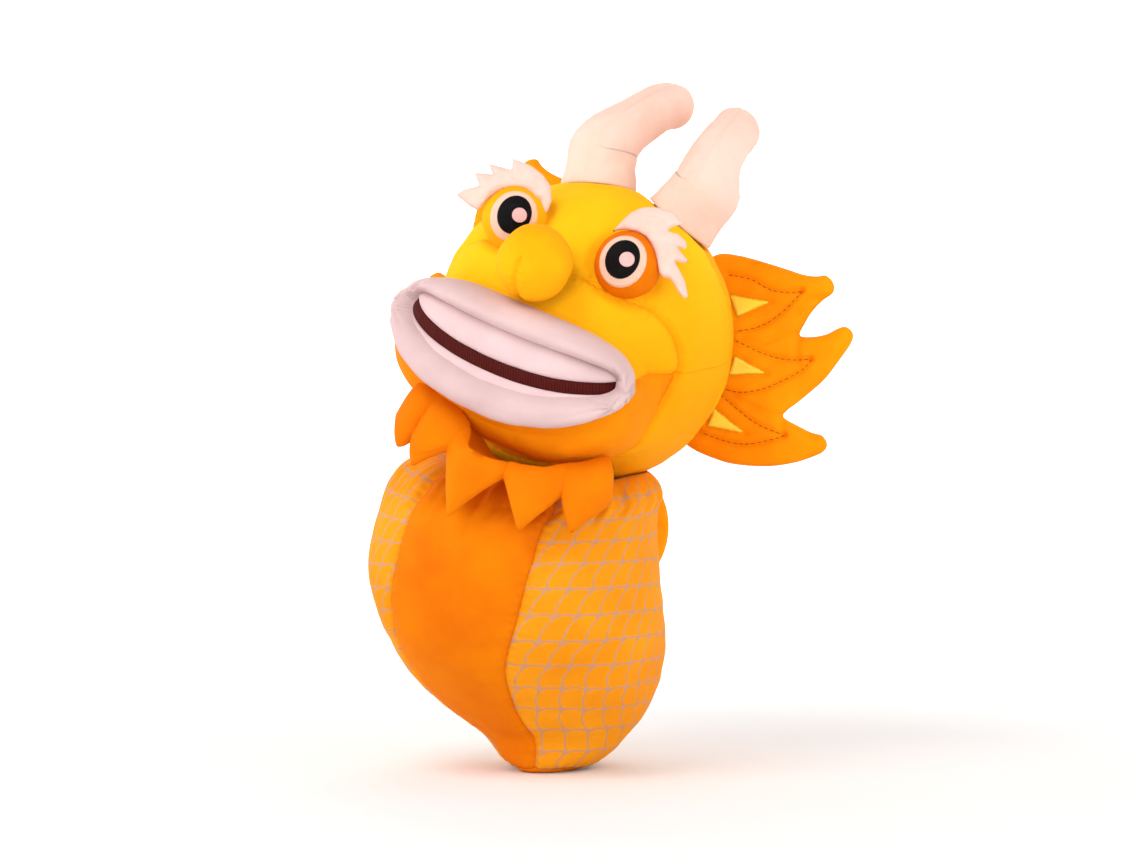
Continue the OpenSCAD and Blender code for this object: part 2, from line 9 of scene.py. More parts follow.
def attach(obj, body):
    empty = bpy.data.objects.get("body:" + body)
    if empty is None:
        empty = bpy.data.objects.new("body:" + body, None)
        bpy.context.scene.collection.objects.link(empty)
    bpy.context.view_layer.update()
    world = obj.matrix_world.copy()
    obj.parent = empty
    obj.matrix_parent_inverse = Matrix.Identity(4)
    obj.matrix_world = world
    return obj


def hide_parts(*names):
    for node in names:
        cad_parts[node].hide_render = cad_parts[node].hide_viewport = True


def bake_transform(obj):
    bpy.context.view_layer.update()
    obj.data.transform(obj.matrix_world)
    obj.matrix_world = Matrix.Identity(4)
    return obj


# Stuffed dragon toy. Shapes are worked out in millimetres, in the frame of the CAD, and made in metres.
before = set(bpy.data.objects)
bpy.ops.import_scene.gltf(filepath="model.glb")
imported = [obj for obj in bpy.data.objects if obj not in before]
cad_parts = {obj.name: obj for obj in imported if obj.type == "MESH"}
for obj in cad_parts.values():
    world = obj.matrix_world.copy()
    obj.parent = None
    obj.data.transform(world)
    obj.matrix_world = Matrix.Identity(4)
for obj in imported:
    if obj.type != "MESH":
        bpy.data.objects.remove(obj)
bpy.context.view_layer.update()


# ---------------------------------------------------------------- small maths
def unit(v):
    v = np.asarray(v, float)
    return v / np.linalg.norm(v, axis=-1, keepdims=True)


def mix(a, b, t):
    return a + (b - a) * t


def smooth(lo, hi, x):
    t = np.clip((np.asarray(x, float) - lo) / (hi - lo), 0, 1)
    return t * t * (3 - 2 * t)


def turn(axis, degrees):
    return np.array(Matrix.Rotation(math.radians(degrees), 3, axis))


def cosd(a):
    return np.cos(np.radians(a))


def sind(a):
    return np.sin(np.radians(a))


def dome(gap, over):
    """The rounded rise of a stuffed edge: 0 at the edge, 1 at that distance in from it."""
    return np.sqrt(np.maximum(1 - (1 - np.clip(gap / over, 0, 1)) ** 2, 0))


def lumps(p, size, seed=1):
    """Soft unevenness of stuffing, about -1 to 1, with bumps of that size."""
    rng = np.random.default_rng(seed)
    total = 0
    for _ in range(7):
        way = unit(rng.normal(size=3)) * 2 * np.pi / (size * rng.uniform(0.7, 1.6))
        total = total + np.sin(p @ way + rng.uniform(0, 6.28))
    return total / 3.2


def near(p, line):
    """Distance from each point to a polyline, and how far along the line that is."""
    flat = p.reshape(-1, p.shape[-1])
    best = np.full(len(flat), 1e9)
    along = np.zeros(len(flat))
    run = np.concatenate([[0], np.cumsum(np.linalg.norm(np.diff(line, axis=0), axis=1))])
    for k in range(len(line) - 1):
        a, d = line[k], line[k + 1] - line[k]
        t = np.clip((flat - a) @ d / max(d @ d, 1e-9), 0, 1)
        gap = np.linalg.norm(flat - a - t[:, None] * d, axis=1)
        closer = gap < best
        best[closer] = gap[closer]
        along[closer] = (run[k] + t * (run[k + 1] - run[k]))[closer]
    return best.reshape(p.shape[:-1]), along.reshape(p.shape[:-1])


def seam_dip(p, line, depth=2.6, width=3.2, pucker=0.5):
    """A sewn seam: a narrow dip, with small gathers beside it."""
    gap, along = near(p, line)
    dip = -depth * np.exp(-((gap / width) ** 2)) - 0.35 * depth * np.exp(-((gap / (3.4 * width)) ** 2))
    wave = np.sin(along * 2 * np.pi / 8.5 + 1.7 * np.sin(along / 23))
    return dip + pucker * wave * np.exp(-(((gap - 3.5) / 5) ** 2))


# ------------------------------------------------------------- mesh builders
def make(name, points, faces, uv=None, merge=False):
    mesh = bpy.data.meshes.new(name)
    mesh.from_pydata((np.asarray(points, float) / 1000).tolist(), [], faces)
    if uv is not None:
        layer = mesh.uv_layers.new(name="print")
        index = np.zeros(len(mesh.loops), int)
        mesh.loops.foreach_get("vertex_index", index)
        layer.data.foreach_set("uv", np.asarray(uv, float)[index].ravel())
    if merge:
        bm = bmesh.new()
        bm.from_mesh(mesh)
        bmesh.ops.remove_doubles(bm, verts=bm.verts, dist=1e-6)
        bmesh.ops.dissolve_degenerate(bm, edges=bm.edges, dist=1e-7)
        bmesh.ops.recalc_face_normals(bm, faces=bm.faces)
        bm.to_mesh(mesh)
        bm.free()
    mesh.polygons.foreach_set("use_smooth", [True] * len(mesh.polygons))
    mesh.update()
    obj = bpy.data.objects.new(name, mesh)
    bpy.context.scene.collection.objects.link(obj)
    return obj


def shell(name, outer, inner, wrap=False, uv=None):
    """A closed piece from two matching grids of points [row][column]."""
    m, n = outer.shape[:2]
    base = m * n
    cols = n if wrap else n - 1
    faces = []
    for i in range(m - 1):
        for j in range(cols):
            k = (j + 1) % n
            a, b, c, d = i * n + j, i * n + k, (i + 1) * n + k, (i + 1) * n + j
            faces.append((a, b, c, d))
            faces.append((d + base, c + base, b + base, a + base))
    for j in range(cols):
        k = (j + 1) % n
        faces.append((k, j, j + base, k + base))
        e = (m - 1) * n
        faces.append((e + j, e + k, e + k + base, e + j + base))
    if not wrap:
        for i in range(m - 1):
            a, b = i * n, (i + 1) * n
            faces.append((a, b, b + base, a + base))
            faces.append((b + n - 1, a + n - 1, a + n - 1 + base, b + n - 1 + base))
    points = np.concatenate([outer.reshape(-1, 3), inner.reshape(-1, 3)])
    both = None if uv is None else np.concatenate([uv.reshape(-1, 2)] * 2)
    return make(name, points, faces, both, merge=uv is None)


def tube(path, radii, sides=6):
    """The points and faces of a closed tube along a path, with a blunt point at each end."""
    path = np.asarray(path, float)
    radii = np.broadcast_to(np.asarray(radii, float), len(path))
    way = unit(np.gradient(path, axis=0))
    side = unit(np.cross(way[0], [0.31, 0.87, 0.37]))
    rings = []
    for p, w, r in zip(path, way, radii):
        side = unit(side - w * (side @ w))
        up = np.cross(w, side)
        a = np.linspace(0, 2 * np.pi, sides, endpoint=False)
        rings.append(p + r * (np.cos(a)[:, None] * side + np.sin(a)[:, None] * up))
    points = np.concatenate([np.array(rings).reshape(-1, 3),
                             [path[0] - way[0] * radii[0] * 0.7, path[-1] + way[-1] * radii[-1] * 0.7]])
    faces = []
    m = len(path)
    for i in range(m - 1):
        for j in range(sides):
            k = (j + 1) % sides
            faces.append((i * sides + j, i * sides + k, (i + 1) * sides + k, (i + 1) * sides + j))
    first, last = m * sides, m * sides + 1
    for j in range(sides):
        k = (j + 1) % sides
        faces.append((first, k, j))
        faces.append((last, (m - 1) * sides + j, (m - 1) * sides + k))
    return points, faces


def join(name, parts):
    """One object from several (points, faces) lists."""
    points, faces, base = [], [], 0
    for p, f in parts:
        points.append(p)
        faces += [tuple(base + i for i in face) for face in f]
        base += len(p)
    return make(name, np.concatenate(points), faces)


def resample(line, step):
    line = np.asarray(line, float)
    run = np.concatenate([[0], np.cumsum(np.linalg.norm(np.diff(line, axis=0), axis=1))])
    n = max(2, int(round(run[-1] / step)) + 1)
    at = np.linspace(0, run[-1], n)
    return np.stack([np.interp(at, run, line[:, k]) for k in range(line.shape[1])], 1)


def curve_through(points, step, closed=False):
    """A smooth line through points, with a point every step."""
    p = np.asarray(points, float)
    n = len(p)
    out = []
    last = n if closed else n - 1
    for i in range(last):
        if closed:
            a, b, c, d = p[(i - 1) % n], p[i], p[(i + 1) % n], p[(i + 2) % n]
        else:
            a, b, c, d = p[max(i - 1, 0)], p[i], p[i + 1], p[min(i + 2, n - 1)]
        for t in np.linspace(0, 1, 12, endpoint=False):
            out.append(0.5 * (2 * b + (c - a) * t + (2 * a - 5 * b + 4 * c - d) * t * t
                              + (3 * b - a - 3 * c + d) * t ** 3))
    out.append(p[0] if closed else p[-1])
    return resample(out, step)


def stitches(lines, length=3.4, gap=2.2, radius=0.45, step=0.8):
    """Thread dashes along lines of points."""
    parts = []
    for line in lines:
        fine = resample(line, step)
        run = np.arange(len(fine)) * step
        start = 0.6
        while start + length < run[-1]:
            piece = fine[(run >= start) & (run <= start + length)]
            if len(piece) > 2:
                parts.append(tube(piece, radius))
            start += length + gap
    return parts


# ----------------------------------------------------------------- materials
def srgb(r, g, b):
    def lin(c):
        c = c / 255
        return c / 12.92 if c <= 0.04045 else ((c + 0.055) / 1.055) ** 2.4
    return (lin(r), lin(g), lin(b), 1)


class Nodes:
    """Short names for building a material."""

    def __init__(self, name):
        self.material = bpy.data.materials.new(name)
        self.material.use_nodes = True
        self.tree = self.material.node_tree
        self.shader = self.tree.nodes["Principled BSDF"]

    def add(self, kind, **values):
        node = self.tree.nodes.new(kind)
        for key, value in values.items():
            if hasattr(node, key):
                setattr(node, key, value)
            else:
                node.inputs[key.replace("_", " ")].default_value = value
        return node

    def link(self, out, socket):
        self.tree.links.new(out, socket)

    def math(self, operation, a, b=0.0, c=None):
        node = self.add("ShaderNodeMath", operation=operation)
        for socket, value in zip(node.inputs, (a, b, c)):
            if value is None:
                continue
            if isinstance(value, (int, float)):
                socket.default_value = value
            else:
                self.link(value, socket)
        return node.outputs[0]

    def clamp(self, value, top=1.0):
        return self.math("MINIMUM", self.math("MAXIMUM", value, 0.0), top)

    def blend(self, factor, a, b):
        node = self.add("ShaderNodeMix", data_type="RGBA")
        for socket, value in ((node.inputs[0], factor), (node.inputs[6], a), (node.inputs[7], b)):
            if isinstance(value, (int, float, tuple)):
                socket.default_value = value
            else:
                self.link(value, socket)
        return node.outputs[2]

    def noise(self, scale, detail=2.0, rough=0.5):
        node = self.add("ShaderNodeTexNoise")
        node.inputs["Scale"].default_value = scale
        node.inputs["Detail"].default_value = detail
        node.inputs["Roughness"].default_value = rough
        place = self.add("ShaderNodeTexCoord")
        self.link(place.outputs["Object"], node.inputs["Vector"])
        return node.outputs["Fac"]


def velour(name, main, dark, light, sheen=0.14, pile=0.35, nap=0.25, printed=None, low=None):
    """Short-pile plush: fine pile, brushed patches where the nap lies over, and a soft edge glow."""
    main, dark, light = srgb(*main), srgb(*dark), srgb(*light)
    m = Nodes(name)
    s = m.shader
    patches = m.clamp(m.math("MULTIPLY_ADD", m.noise(16, 3, 0.55), 2.4, -0.7))
    colour = m.blend(patches, dark, light)
    colour = m.blend(0.5, colour, main)
    if low:
        # painted shade: the colour turns a deeper orange lower down on the head, towards the chin
        place = m.add("ShaderNodeTexCoord")
        part = m.add("ShaderNodeSeparateXYZ")
        m.link(place.outputs["Object"], part.inputs[0])
        up = m.clamp(m.math("MULTIPLY_ADD", part.outputs["Z"], 7.5, -2.5))
        colour = m.blend(up, srgb(*low), colour)
    if printed:
        colour = m.blend(printed(m), colour, srgb(176, 148, 134))
    grain = m.noise(950, 2, 0.7)
    speck = m.math("MULTIPLY_ADD", grain, 1.6, -0.3)
    colour = m.blend(m.math("MULTIPLY", speck, nap), colour, dark)
    m.link(colour, s.inputs["Base Color"])
    m.link(m.math("MULTIPLY_ADD", patches, 0.12, 0.72), s.inputs["Roughness"])
    s.inputs["Specular IOR Level"].default_value = 0.06
    s.inputs["Sheen Weight"].default_value = sheen
    s.inputs["Sheen Roughness"].default_value = 0.45
    s.inputs["Sheen Tint"].default_value = main
    fine = m.add("ShaderNodeBump", Strength=pile, Distance=0.0006)
    m.link(grain, fine.inputs["Height"])
    broad = m.add("ShaderNodeBump", Strength=0.35, Distance=0.0016)
    m.link(m.noise(75, 3, 0.6), broad.inputs["Height"])
    m.link(fine.outputs["Normal"], broad.inputs["Normal"])
    m.link(broad.outputs["Normal"], s.inputs["Normal"])
    return m.material


SCALE_WIDE, SCALE_TALL, SCALE_LINE = 20.5, 22.5, 2.2


def scale_print(m):
    """Rows of leaning scales: thin grey lines that thicken where they cross."""
    uv = m.add("ShaderNodeUVMap", uv_map="print")
    part = m.add("ShaderNodeSeparateXYZ")
    m.link(uv.outputs["UV"], part.inputs[0])
    wobble = m.math("MULTIPLY_ADD", m.noise(45, 1), 3.0, -1.5)
    u = m.math("ADD", part.outputs["X"], wobble)
    v = part.outputs["Y"]
    row = m.math("DIVIDE", v, SCALE_TALL)
    rise = m.math("FRACT", row)
    bow = m.math("SINE", m.math("MULTIPLY", rise, math.pi))
    lean = m.math("MULTIPLY", row, 0.36)
    across = m.math("DIVIDE", u, SCALE_WIDE)
    across = m.math("SUBTRACT", m.math("MULTIPLY_ADD", bow, 0.17, across), lean)
    off_u = m.math("ABSOLUTE", m.math("SUBTRACT", m.math("FRACT", across), 0.5))
    gap_u = m.math("ADD", m.math("MULTIPLY", off_u, -SCALE_WIDE), SCALE_WIDE / 2)
    dip = m.math("SINE", m.math("MULTIPLY", m.math("FRACT", across), math.pi))
    level = m.math("FRACT", m.math("MULTIPLY_ADD", dip, -0.085, row))
    off_v = m.math("ABSOLUTE", m.math("SUBTRACT", level, 0.5))
    gap_v = m.math("ADD", m.math("MULTIPLY", off_v, -SCALE_TALL), SCALE_TALL / 2)

    def bell(gap):
        return m.math("EXPONENT", m.math("MULTIPLY", m.math("MULTIPLY", gap, gap), -1 / SCALE_LINE ** 2))

    field = m.math("ADD", bell(gap_u), bell(gap_v))
    return m.clamp(m.math("MULTIPLY_ADD", field, 2.8, -1.95), 0.66)


def stitched(name, colour, dark, spacing=1400, vertical=True, sheen=0.12):
    """Satin stitch: close raised threads."""
    colour, dark = srgb(*colour), srgb(*dark)
    m = Nodes(name)
    s = m.shader
    wave = m.add("ShaderNodeTexWave", bands_direction="X" if vertical else "Z")
    wave.inputs["Scale"].default_value = spacing / 10
    wave.inputs["Distortion"].default_value = 1.2
    place = m.add("ShaderNodeTexCoord")
    m.link(place.outputs["Object"], wave.inputs["Vector"])
    crest = m.math("MULTIPLY_ADD", wave.outputs["Fac"], 0.7, 0.1)
    m.link(m.blend(crest, dark, colour), s.inputs["Base Color"])
    s.inputs["Roughness"].default_value = 0.55
    s.inputs["Sheen Weight"].default_value = sheen
    s.inputs["Specular IOR Level"].default_value = 0.1
    bump = m.add("ShaderNodeBump", Strength=0.5, Distance=0.0004)
    m.link(wave.outputs["Fac"], bump.inputs["Height"])
    m.link(bump.outputs["Normal"], s.inputs["Normal"])
    return m.material


# low gives the head a painted shade, deeper orange lower down
YELLOW = velour("velour yellow", (254, 194, 14), (250, 178, 4), (255, 208, 36), low=(246, 156, 6))
AMBER = velour("velour amber", (252, 172, 8), (246, 154, 2), (255, 194, 26))
ORANGE = velour("velour orange", (232, 120, 0), (218, 98, 0), (242, 142, 5))
# painted shade: the chin velour is a deeper orange than the head's yellow, for the shade under the head
CHIN = velour("velour chin", (240, 138, 3), (232, 120, 0), (250, 160, 12))
DEEP = velour("velour deep orange", (236, 122, 2), (224, 100, 0), (246, 144, 10))
SCALES = velour("velour scale print", (240, 150, 18), (232, 134, 10), (248, 168, 36), printed=scale_print)
EAR = velour("velour ear", (252, 150, 2), (246, 130, 0), (255, 172, 12))
PALE = velour("velour pale inset", (255, 228, 70), (250, 212, 40), (255, 240, 110))
HORN = velour("velour horn", (240, 204, 188), (230, 186, 168), (248, 218, 204), sheen=0.1)
BROW = velour("plush brow", (248, 208, 194), (238, 186, 172), (255, 226, 214), sheen=0.2, pile=0.9)
LILAC = velour("velour lip", (216, 186, 184), (198, 166, 168), (228, 202, 200), sheen=0.08)
TEETH = velour("velour teeth", (222, 192, 192), (210, 176, 178), (232, 208, 208), sheen=0.08)
MAROON = stitched("stitched smile", (92, 14, 5), (48, 4, 2), sheen=0.03)
WHITE = stitched("stitched eye white", (246, 206, 184), (230, 184, 160), spacing=1900, sheen=0.05)
BLACK = stitched("stitched iris", (10, 7, 7), (3, 2, 3), spacing=1900, sheen=0.0)
GLINT = stitched("stitched highlight", (240, 192, 188), (224, 172, 168), spacing=1900, vertical=False)
THREAD = stitched("thread", (196, 96, 10), (150, 60, 4), spacing=2600)

# ------------------------------------------------------------ camera and light
AZIMUTH, DISTANCE = 24, 2.5
view_way = np.array([-sind(AZIMUTH), cosd(AZIMUTH), 0])
target = np.array([0.0148, 0.0066, 0.306])
camera = bpy.data.objects.new("Camera", bpy.data.cameras.new("Camera"))
camera.location = Vector(target - DISTANCE * view_way)
camera.rotation_euler = (math.radians(90), 0, math.radians(AZIMUTH))
camera.data.lens = 87.7
camera.data.sensor_width = 36
bpy.context.scene.collection.objects.link(camera)
bpy.context.scene.camera = camera
bpy.context.scene.view_settings.view_transform = "Standard"


def lamp(name, azimuth, elevation, distance, size, power, colour=(1, 1, 1)):
    light = bpy.data.lights.new(name, "AREA")
    light.size = size
    light.energy = power
    light.color = colour
    obj = bpy.data.objects.new(name, light)
    a, e = math.radians(azimuth), math.radians(elevation)
    way = Vector((math.sin(a) * math.cos(e), -math.cos(a) * math.cos(e), math.sin(e)))
    obj.location = Vector((0, 0, 0.32)) + way * distance
    obj.rotation_euler = way.to_track_quat("Z", "Y").to_euler()
    bpy.context.scene.collection.objects.link(obj)


lamp("key", -12, 52, 2.6, 1.3, 24, (1.0, 0.985, 0.96))
lamp("fill", 70, 25, 3.0, 1.8, 6, (1.0, 0.97, 0.93))
lamp("side", -80, 25, 3.0, 1.6, 6, (1.0, 0.97, 0.94))
lamp("back", 200, 50, 2.8, 1.6, 12)

world = bpy.data.worlds.new("studio")
world.use_nodes = True
world.node_tree.nodes["Background"].inputs[0].default_value = (1, 1, 1, 1)
world.node_tree.nodes["Background"].inputs[1].default_value = 0.26
bpy.context.scene.world = world

# the floor is a wide shallow bowl: flat, then curved up into a wall
FLAT, BEND, WALL, SIDES, SUNK = 3000, 1200, 3600, 96, 0.3
profile = [(FLAT + BEND * sind(a), BEND * (1 - cosd(a))) for a in np.linspace(0, 90, 14)]
profile.append((FLAT + BEND, WALL))
around = np.arange(SIDES) * 360 / SIDES
points = [[0, 0, -SUNK]] + [[r * cosd(a), r * sind(a), z - SUNK] for r, z in profile for a in around]
faces = [(0, 1 + i, 1 + (i + 1) % SIDES) for i in range(SIDES)]
for k in range(len(profile) - 1):
    for i in range(SIDES):
        a, b = 1 + k * SIDES + i, 1 + k * SIDES + (i + 1) % SIDES
        faces.append((a, a + SIDES, b + SIDES, b))
floor = make("floor", points, faces)
paper = Nodes("pale floor")
paper.shader.inputs["Base Color"].default_value = (0.93, 0.93, 0.93, 1)
paper.shader.inputs["Roughness"].default_value = 0.9
paper.shader.inputs["Specular IOR Level"].default_value = 0.1
place = paper.add("ShaderNodeTexCoord")
reach = paper.add("ShaderNodeVectorMath", operation="LENGTH")
paper.link(place.outputs["Object"], reach.inputs[0])
# painted light: the paper glows, with no glow within half a metre of the toy and more further out, up to a
# strength of 0.55
glow = paper.math("MULTIPLY", paper.math("SUBTRACT", reach.outputs["Value"], 0.5), 0.22)
paper.shader.inputs["Emission Color"].default_value = (1, 1, 1, 1)
paper.link(paper.clamp(glow, 0.55), paper.shader.inputs["Emission Strength"])
floor.data.materials.append(paper.material)


def finish_piece(obj, material, body, slot, *nodes, fill=None):
    """Gives a piece its material, hides the CAD nodes it stands for and hangs it on its body. The slot and
    the filling (fill) are not used.
    """
    obj.data.materials.clear()
    obj.data.materials.append(material)
    if nodes:
        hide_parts(*nodes)
    if body:
        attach(obj, body)
    return obj


# ---------------------------------------------------------------- head shape
HEAD = np.array([31.0, 0, 390])
HEAD_RADIUS, HEAD_LEAN = 135, 22
HEAD_TURN = turn("Y", HEAD_LEAN) @ turn("X", -6)


def from_head(p):
    return np.asarray(p) @ HEAD_TURN.T + HEAD


def muzzle_level(p):
    """Below 1 inside the muzzle's rounded block, above 1 outside it."""
    x, y, z = np.abs(p[..., 0]) / 118, np.abs(p[..., 1] + 72) / 92, np.abs(p[..., 2] + 46) / 62
    return (x ** 2.4 + z ** 2.4) ** 1.25 + y ** 3


def head_reach(d):
    """How far the head's surface is along each direction: the further of its ball and its muzzle."""
    lo, hi = np.zeros(d.shape[:-1]), np.full(d.shape[:-1], 240.0)
    for _ in range(22):
        mid = (lo + hi) / 2
        within = muzzle_level(d * mid[..., None]) < 1
        lo, hi = np.where(within, mid, lo), np.where(within, hi, mid)
    h = np.maximum(12 - np.abs(HEAD_RADIUS - lo), 0) / 12
    return np.maximum(HEAD_RADIUS, lo) + h * h * 3


def droop(v):
    """Tips directions down from straight ahead to where the mouth is."""
    c, s = cosd(16), sind(16)
    return unit(np.stack([v[..., 0], v[..., 1] * c - v[..., 2] * s, v[..., 1] * s + v[..., 2] * c], -1))


def ring_direction(a, b):
    x = sind(a) * cosd(b)
    return droop(np.stack([x, -cosd(a), sind(a) * sind(b) + 0.22 * x * x], -1))


def slope_direction(u, w):
    s = 1 / np.sqrt(1 + u * u + w * w)
    return droop(np.stack([u * s, -s, w * s + 0.22 * u * u * s * s], -1))


def sector_angle(j):
    """The angle round the mouth of place j, with 40 places in a turn, closer together at the corners."""
    k = np.mod(j, 40)
    return np.select([k < 3, k < 20, k < 23], [-9 + 6 * k, 9 + 162 * (k - 3) / 17, 171 + 6 * (k - 20)],
                     189 + 162 * (k - 23) / 17)


def loop_slope(b, grow):
    wide = np.clip(cosd(b) / cosd(9), -1, 1)
    return (math.tan(math.radians(38)) + grow) * wide, (math.tan(math.radians(11)) + grow) * sind(b)


def head_direction(s, j):
    """A way out of the head: s 0 to 1 on the lip, 2 muzzle seam, 3 crown seam, 4 nape; j round the mouth."""
    s, j = np.broadcast_arrays(np.asarray(s, float), np.asarray(j, float))
    b = sector_angle(j)
    u, w = loop_slope(b, mix(-0.035, 0.150, np.clip(s, -1, 1)))
    angle = np.degrees(np.arctan(np.hypot(u, w)))
    bearing = np.degrees(np.arctan2(w, u))
    bearing = np.where(bearing < b - 90, bearing + 360, bearing)
    above, under = np.maximum(sind(b), 0), np.maximum(-sind(b), 0)
    seam = np.where(sind(b) > 0, mix(66, 36, above ** 1.5), mix(66, 50, under))
    t = np.clip(s - 1, 0, 1)
    angle = np.where(s <= 1, angle, mix(angle, seam, t))
    bearing = np.where(s <= 1, bearing, mix(bearing, b, t))
    angle = np.where(s > 2, mix(seam, 104, np.clip(s - 2, 0, 1)), angle)
    angle = np.where(s > 3, mix(104, 180, s - 3), angle)
    return ring_direction(angle, bearing)


def head_at(s, j):
    d = head_direction(s, j)
    return d * head_reach(d)[..., None]


every = np.linspace(0, 40, 321)
MUZZLE_SEAM = head_at(2.0, every)
CROWN_SEAM = head_at(3.0, every)
SIDE_SEAMS = [head_at(np.linspace(1, 2, 40), np.full(40, float(j))) for j in (1, 22)]
BACK_SEAMS = [head_at(np.linspace(3, 4, 60), np.full(60, float(j))) for j in (11, 31)]
NOSE, NOSE_RADIUS = np.array([0, -158.0, 43]), 33.5
EYES, MOUND_RADIUS = [np.array([57, -105.0, 71]), np.array([-57, -105.0, 71])], 29
EYE_AIM = (9, 20)
HORN_WAY = unit([41, 4, 122])
HORN_FOOT, HORN_RADIUS = 166.2, 31
SIDES_OF_TOY = ((1, "left"), (-1, "right"))


def head_lift(p):
    """Stuffed relief of the head cloth over its plain shape."""
    lift = 1.1 * lumps(p, 75, 3) + 0.5 * lumps(p, 26, 4)
    lift += seam_dip(p, MUZZLE_SEAM, 4.2, 3.6, 0.5)
    lift += seam_dip(p, CROWN_SEAM, 2.4, 3.0, 0.4)
    for line in SIDE_SEAMS + BACK_SEAMS:
        lift += seam_dip(p, line, 1.8, 2.4, 0.25)
    # the cloth is drawn in round the sewn-on nose, eyes and horns
    for place, radius in ((NOSE, NOSE_RADIUS), (EYES[0], MOUND_RADIUS), (EYES[1], MOUND_RADIUS)):
        gap = np.linalg.norm(p - place, axis=-1) - radius
        lift -= 4.0 * np.exp(-((np.maximum(gap, 0) / 7) ** 2))
    for way in (HORN_WAY, HORN_WAY * [-1, 1, 1]):
        gap = np.linalg.norm(np.cross(p, way), axis=-1) - HORN_RADIUS
        lift -= np.where(p @ way > 0, 3.0 * np.exp(-((gap / 5) ** 2)), 0)
    # gathers that fan from the mouth corners into the cheeks
    for j, tilt in ((1, 1), (22, -1)):
        corner = head_at(1.0, float(j))
        d = p - corner
        gap = np.linalg.norm(d, axis=-1)
        angle = np.degrees(np.arctan2(d[..., 2], tilt * d[..., 0]))
        fold = np.cos(np.radians(angle * 7.0 + 20)) ** 3
        lift += 1.3 * fold * np.exp(-((gap / 26) ** 2)) * smooth(2, 10, gap)
    return lift


def head_panel(name, s0, s1, j0, j1, rows, material, *nodes, full=0.0):
    s = np.linspace(s0, s1, rows)[:, None]
    j = np.linspace(j0, j1, int(abs(j1 - j0) * 9) + 1)[None, :]
    d = head_direction(s, j)
    reach = head_reach(d)
    flat = d * reach[..., None]
    # extra stuffing in the middle of the panel
    extra = full * np.sin(np.pi * np.clip(s - 1, 0, 1) ** 0.8)
    extra = extra * smooth(j0 + 2.5, j0 + 8, j) * smooth(j1 - 1, j1 - 7, j)
    outer = d * (reach + head_lift(flat) + extra)[..., None]
    inner = d * (reach - 7)[..., None]
    obj = shell(name, from_head(outer), from_head(inner))
    return finish_piece(obj, material, "head", nodes[0], *nodes, fill=0.85)


head_panel("crown", 2, 3, 1, 22, 64, YELLOW, "crown_panel", "head_filling")
head_panel("throat", 2, 3, 22, 41, 56, YELLOW, "throat_panel")
head_panel("muzzle", 0.9, 2, 1, 22, 64, YELLOW, "muzzle_panel")
# the jaw gets the chin velour, whose deeper orange is painted shade
head_panel("jaw", 0.45, 2, 22, 41, 80, CHIN, "jaw_panel", full=9.0)
head_panel("back_left", 3, 4, -9, 11, 72, AMBER, "back_left_panel")
head_panel("back_right", 3, 4, 11, 31, 72, AMBER, "back_right_panel")

# ------------------------------------------------------------------ lip roll
# gathers at the corners: place round the mouth, folds in a turn, depth
LIP_GATHERS = [(21.6, 17, 4.2), (0.4, 15, 3.0), (38.2, 13, 2.6), (24.5, 12, 2.6)]
j = np.linspace(0, 40, 721)[:-1][None, :]
across = 1.12 * np.cos(np.linspace(np.pi, 0, 34))[:, None]
below = smooth(0.1, 0.8, -sind(sector_angle(j)))
s = mix(0.5, -0.36 * below, (1 - across) / 2) + mix(0.5, 1 - 0.42 * below, (1 + across) / 2) - 0.5
d = head_direction(s, j)
reach = head_reach(d)
flat = d * reach[..., None]
swell = (19 - 3.0 * below) * (1 - np.abs(np.clip(across, -1, 1)) ** 2.3) ** 0.6
swell = swell * (1 + 0.05 * lumps(flat, 60, 7)) + 0.6 * lumps(flat, 22, 8)
for k, (corner_j, count, depth) in enumerate(LIP_GATHERS):
    corner = head_at(0.35, corner_j)
    away = flat - corner
    gap = np.linalg.norm(away, axis=-1)
    angle = np.arctan2(away[..., 2], away[..., 0])
    fold = (0.5 + 0.5 * np.cos(count * angle + 0.9 * np.sin(3 * angle + k))) ** 4
    swell = swell - depth * fold * np.exp(-((gap / 30) ** 2)) * smooth(0, 9, gap) * (swell > 3)
swell = np.where(np.abs(across) > 1.0, -2.5, np.maximum(swell, 0))
outer = d * (reach + swell)[..., None]
inner = d * (reach - 6)[..., None]
lip = shell("lip", from_head(outer), from_head(inner), wrap=True)
finish_piece(lip, LILAC, "head", "lip_cover", "lip_cover", "lip_filling", fill=0.9)


# ------------------------------------------------------- inside of the mouth
def mouth_slope(c, v):
    """Slopes from straight ahead: c is 0 to 17 between the corners, v is -1 lower to 1 upper edge."""
    u, w = loop_slope(mix(9, 171, c / 17), -0.035)
    return u * 1.03, w * v


def band(c, k):
    """The height of edge k of the mouth's three bands: lower teeth, stitched smile, upper teeth."""
    _, w = mouth_slope(c, 1.0)
    middle = np.clip(0.012 / np.maximum(w, 1e-6), 0.02, 0.333)
    ends = smooth(0, 1.2, c) * smooth(17, 15.8, c)
    smile_low = -middle - 0.045 / np.maximum(w, 1e-6) * ends
    return [-1.12 + 0 * c, smile_low, middle * mix(1, 0.6, ends), 1.12 + 0 * c][k]


def mouth_piece(name, k0, k1, puff, base, material, slot):
    c = np.linspace(0, 17, 220)[None, :]
    t = np.linspace(0, 1, 26)[:, None]
    u, w = mouth_slope(c, mix(band(c, k0), band(c, k1), t))
    d = slope_direction(u + 0 * t, w)
    reach = head_reach(d)
    flat = d * reach[..., None]
    rise = puff * (1 - np.abs(2 * t - 1) ** 2.2) ** 0.7 * np.sqrt(smooth(0, 1.5, c) * smooth(17, 15.5, c))
    outer = d * (reach + base + rise + 0.35 * lumps(flat, 22, 11) * (puff > 2))[..., None]
    inner = d * (reach - 5)[..., None]
    obj = shell(name, from_head(outer), from_head(inner))
    return finish_piece(obj, material, "head", slot, slot, fill=0.6 if puff > 2 else None)


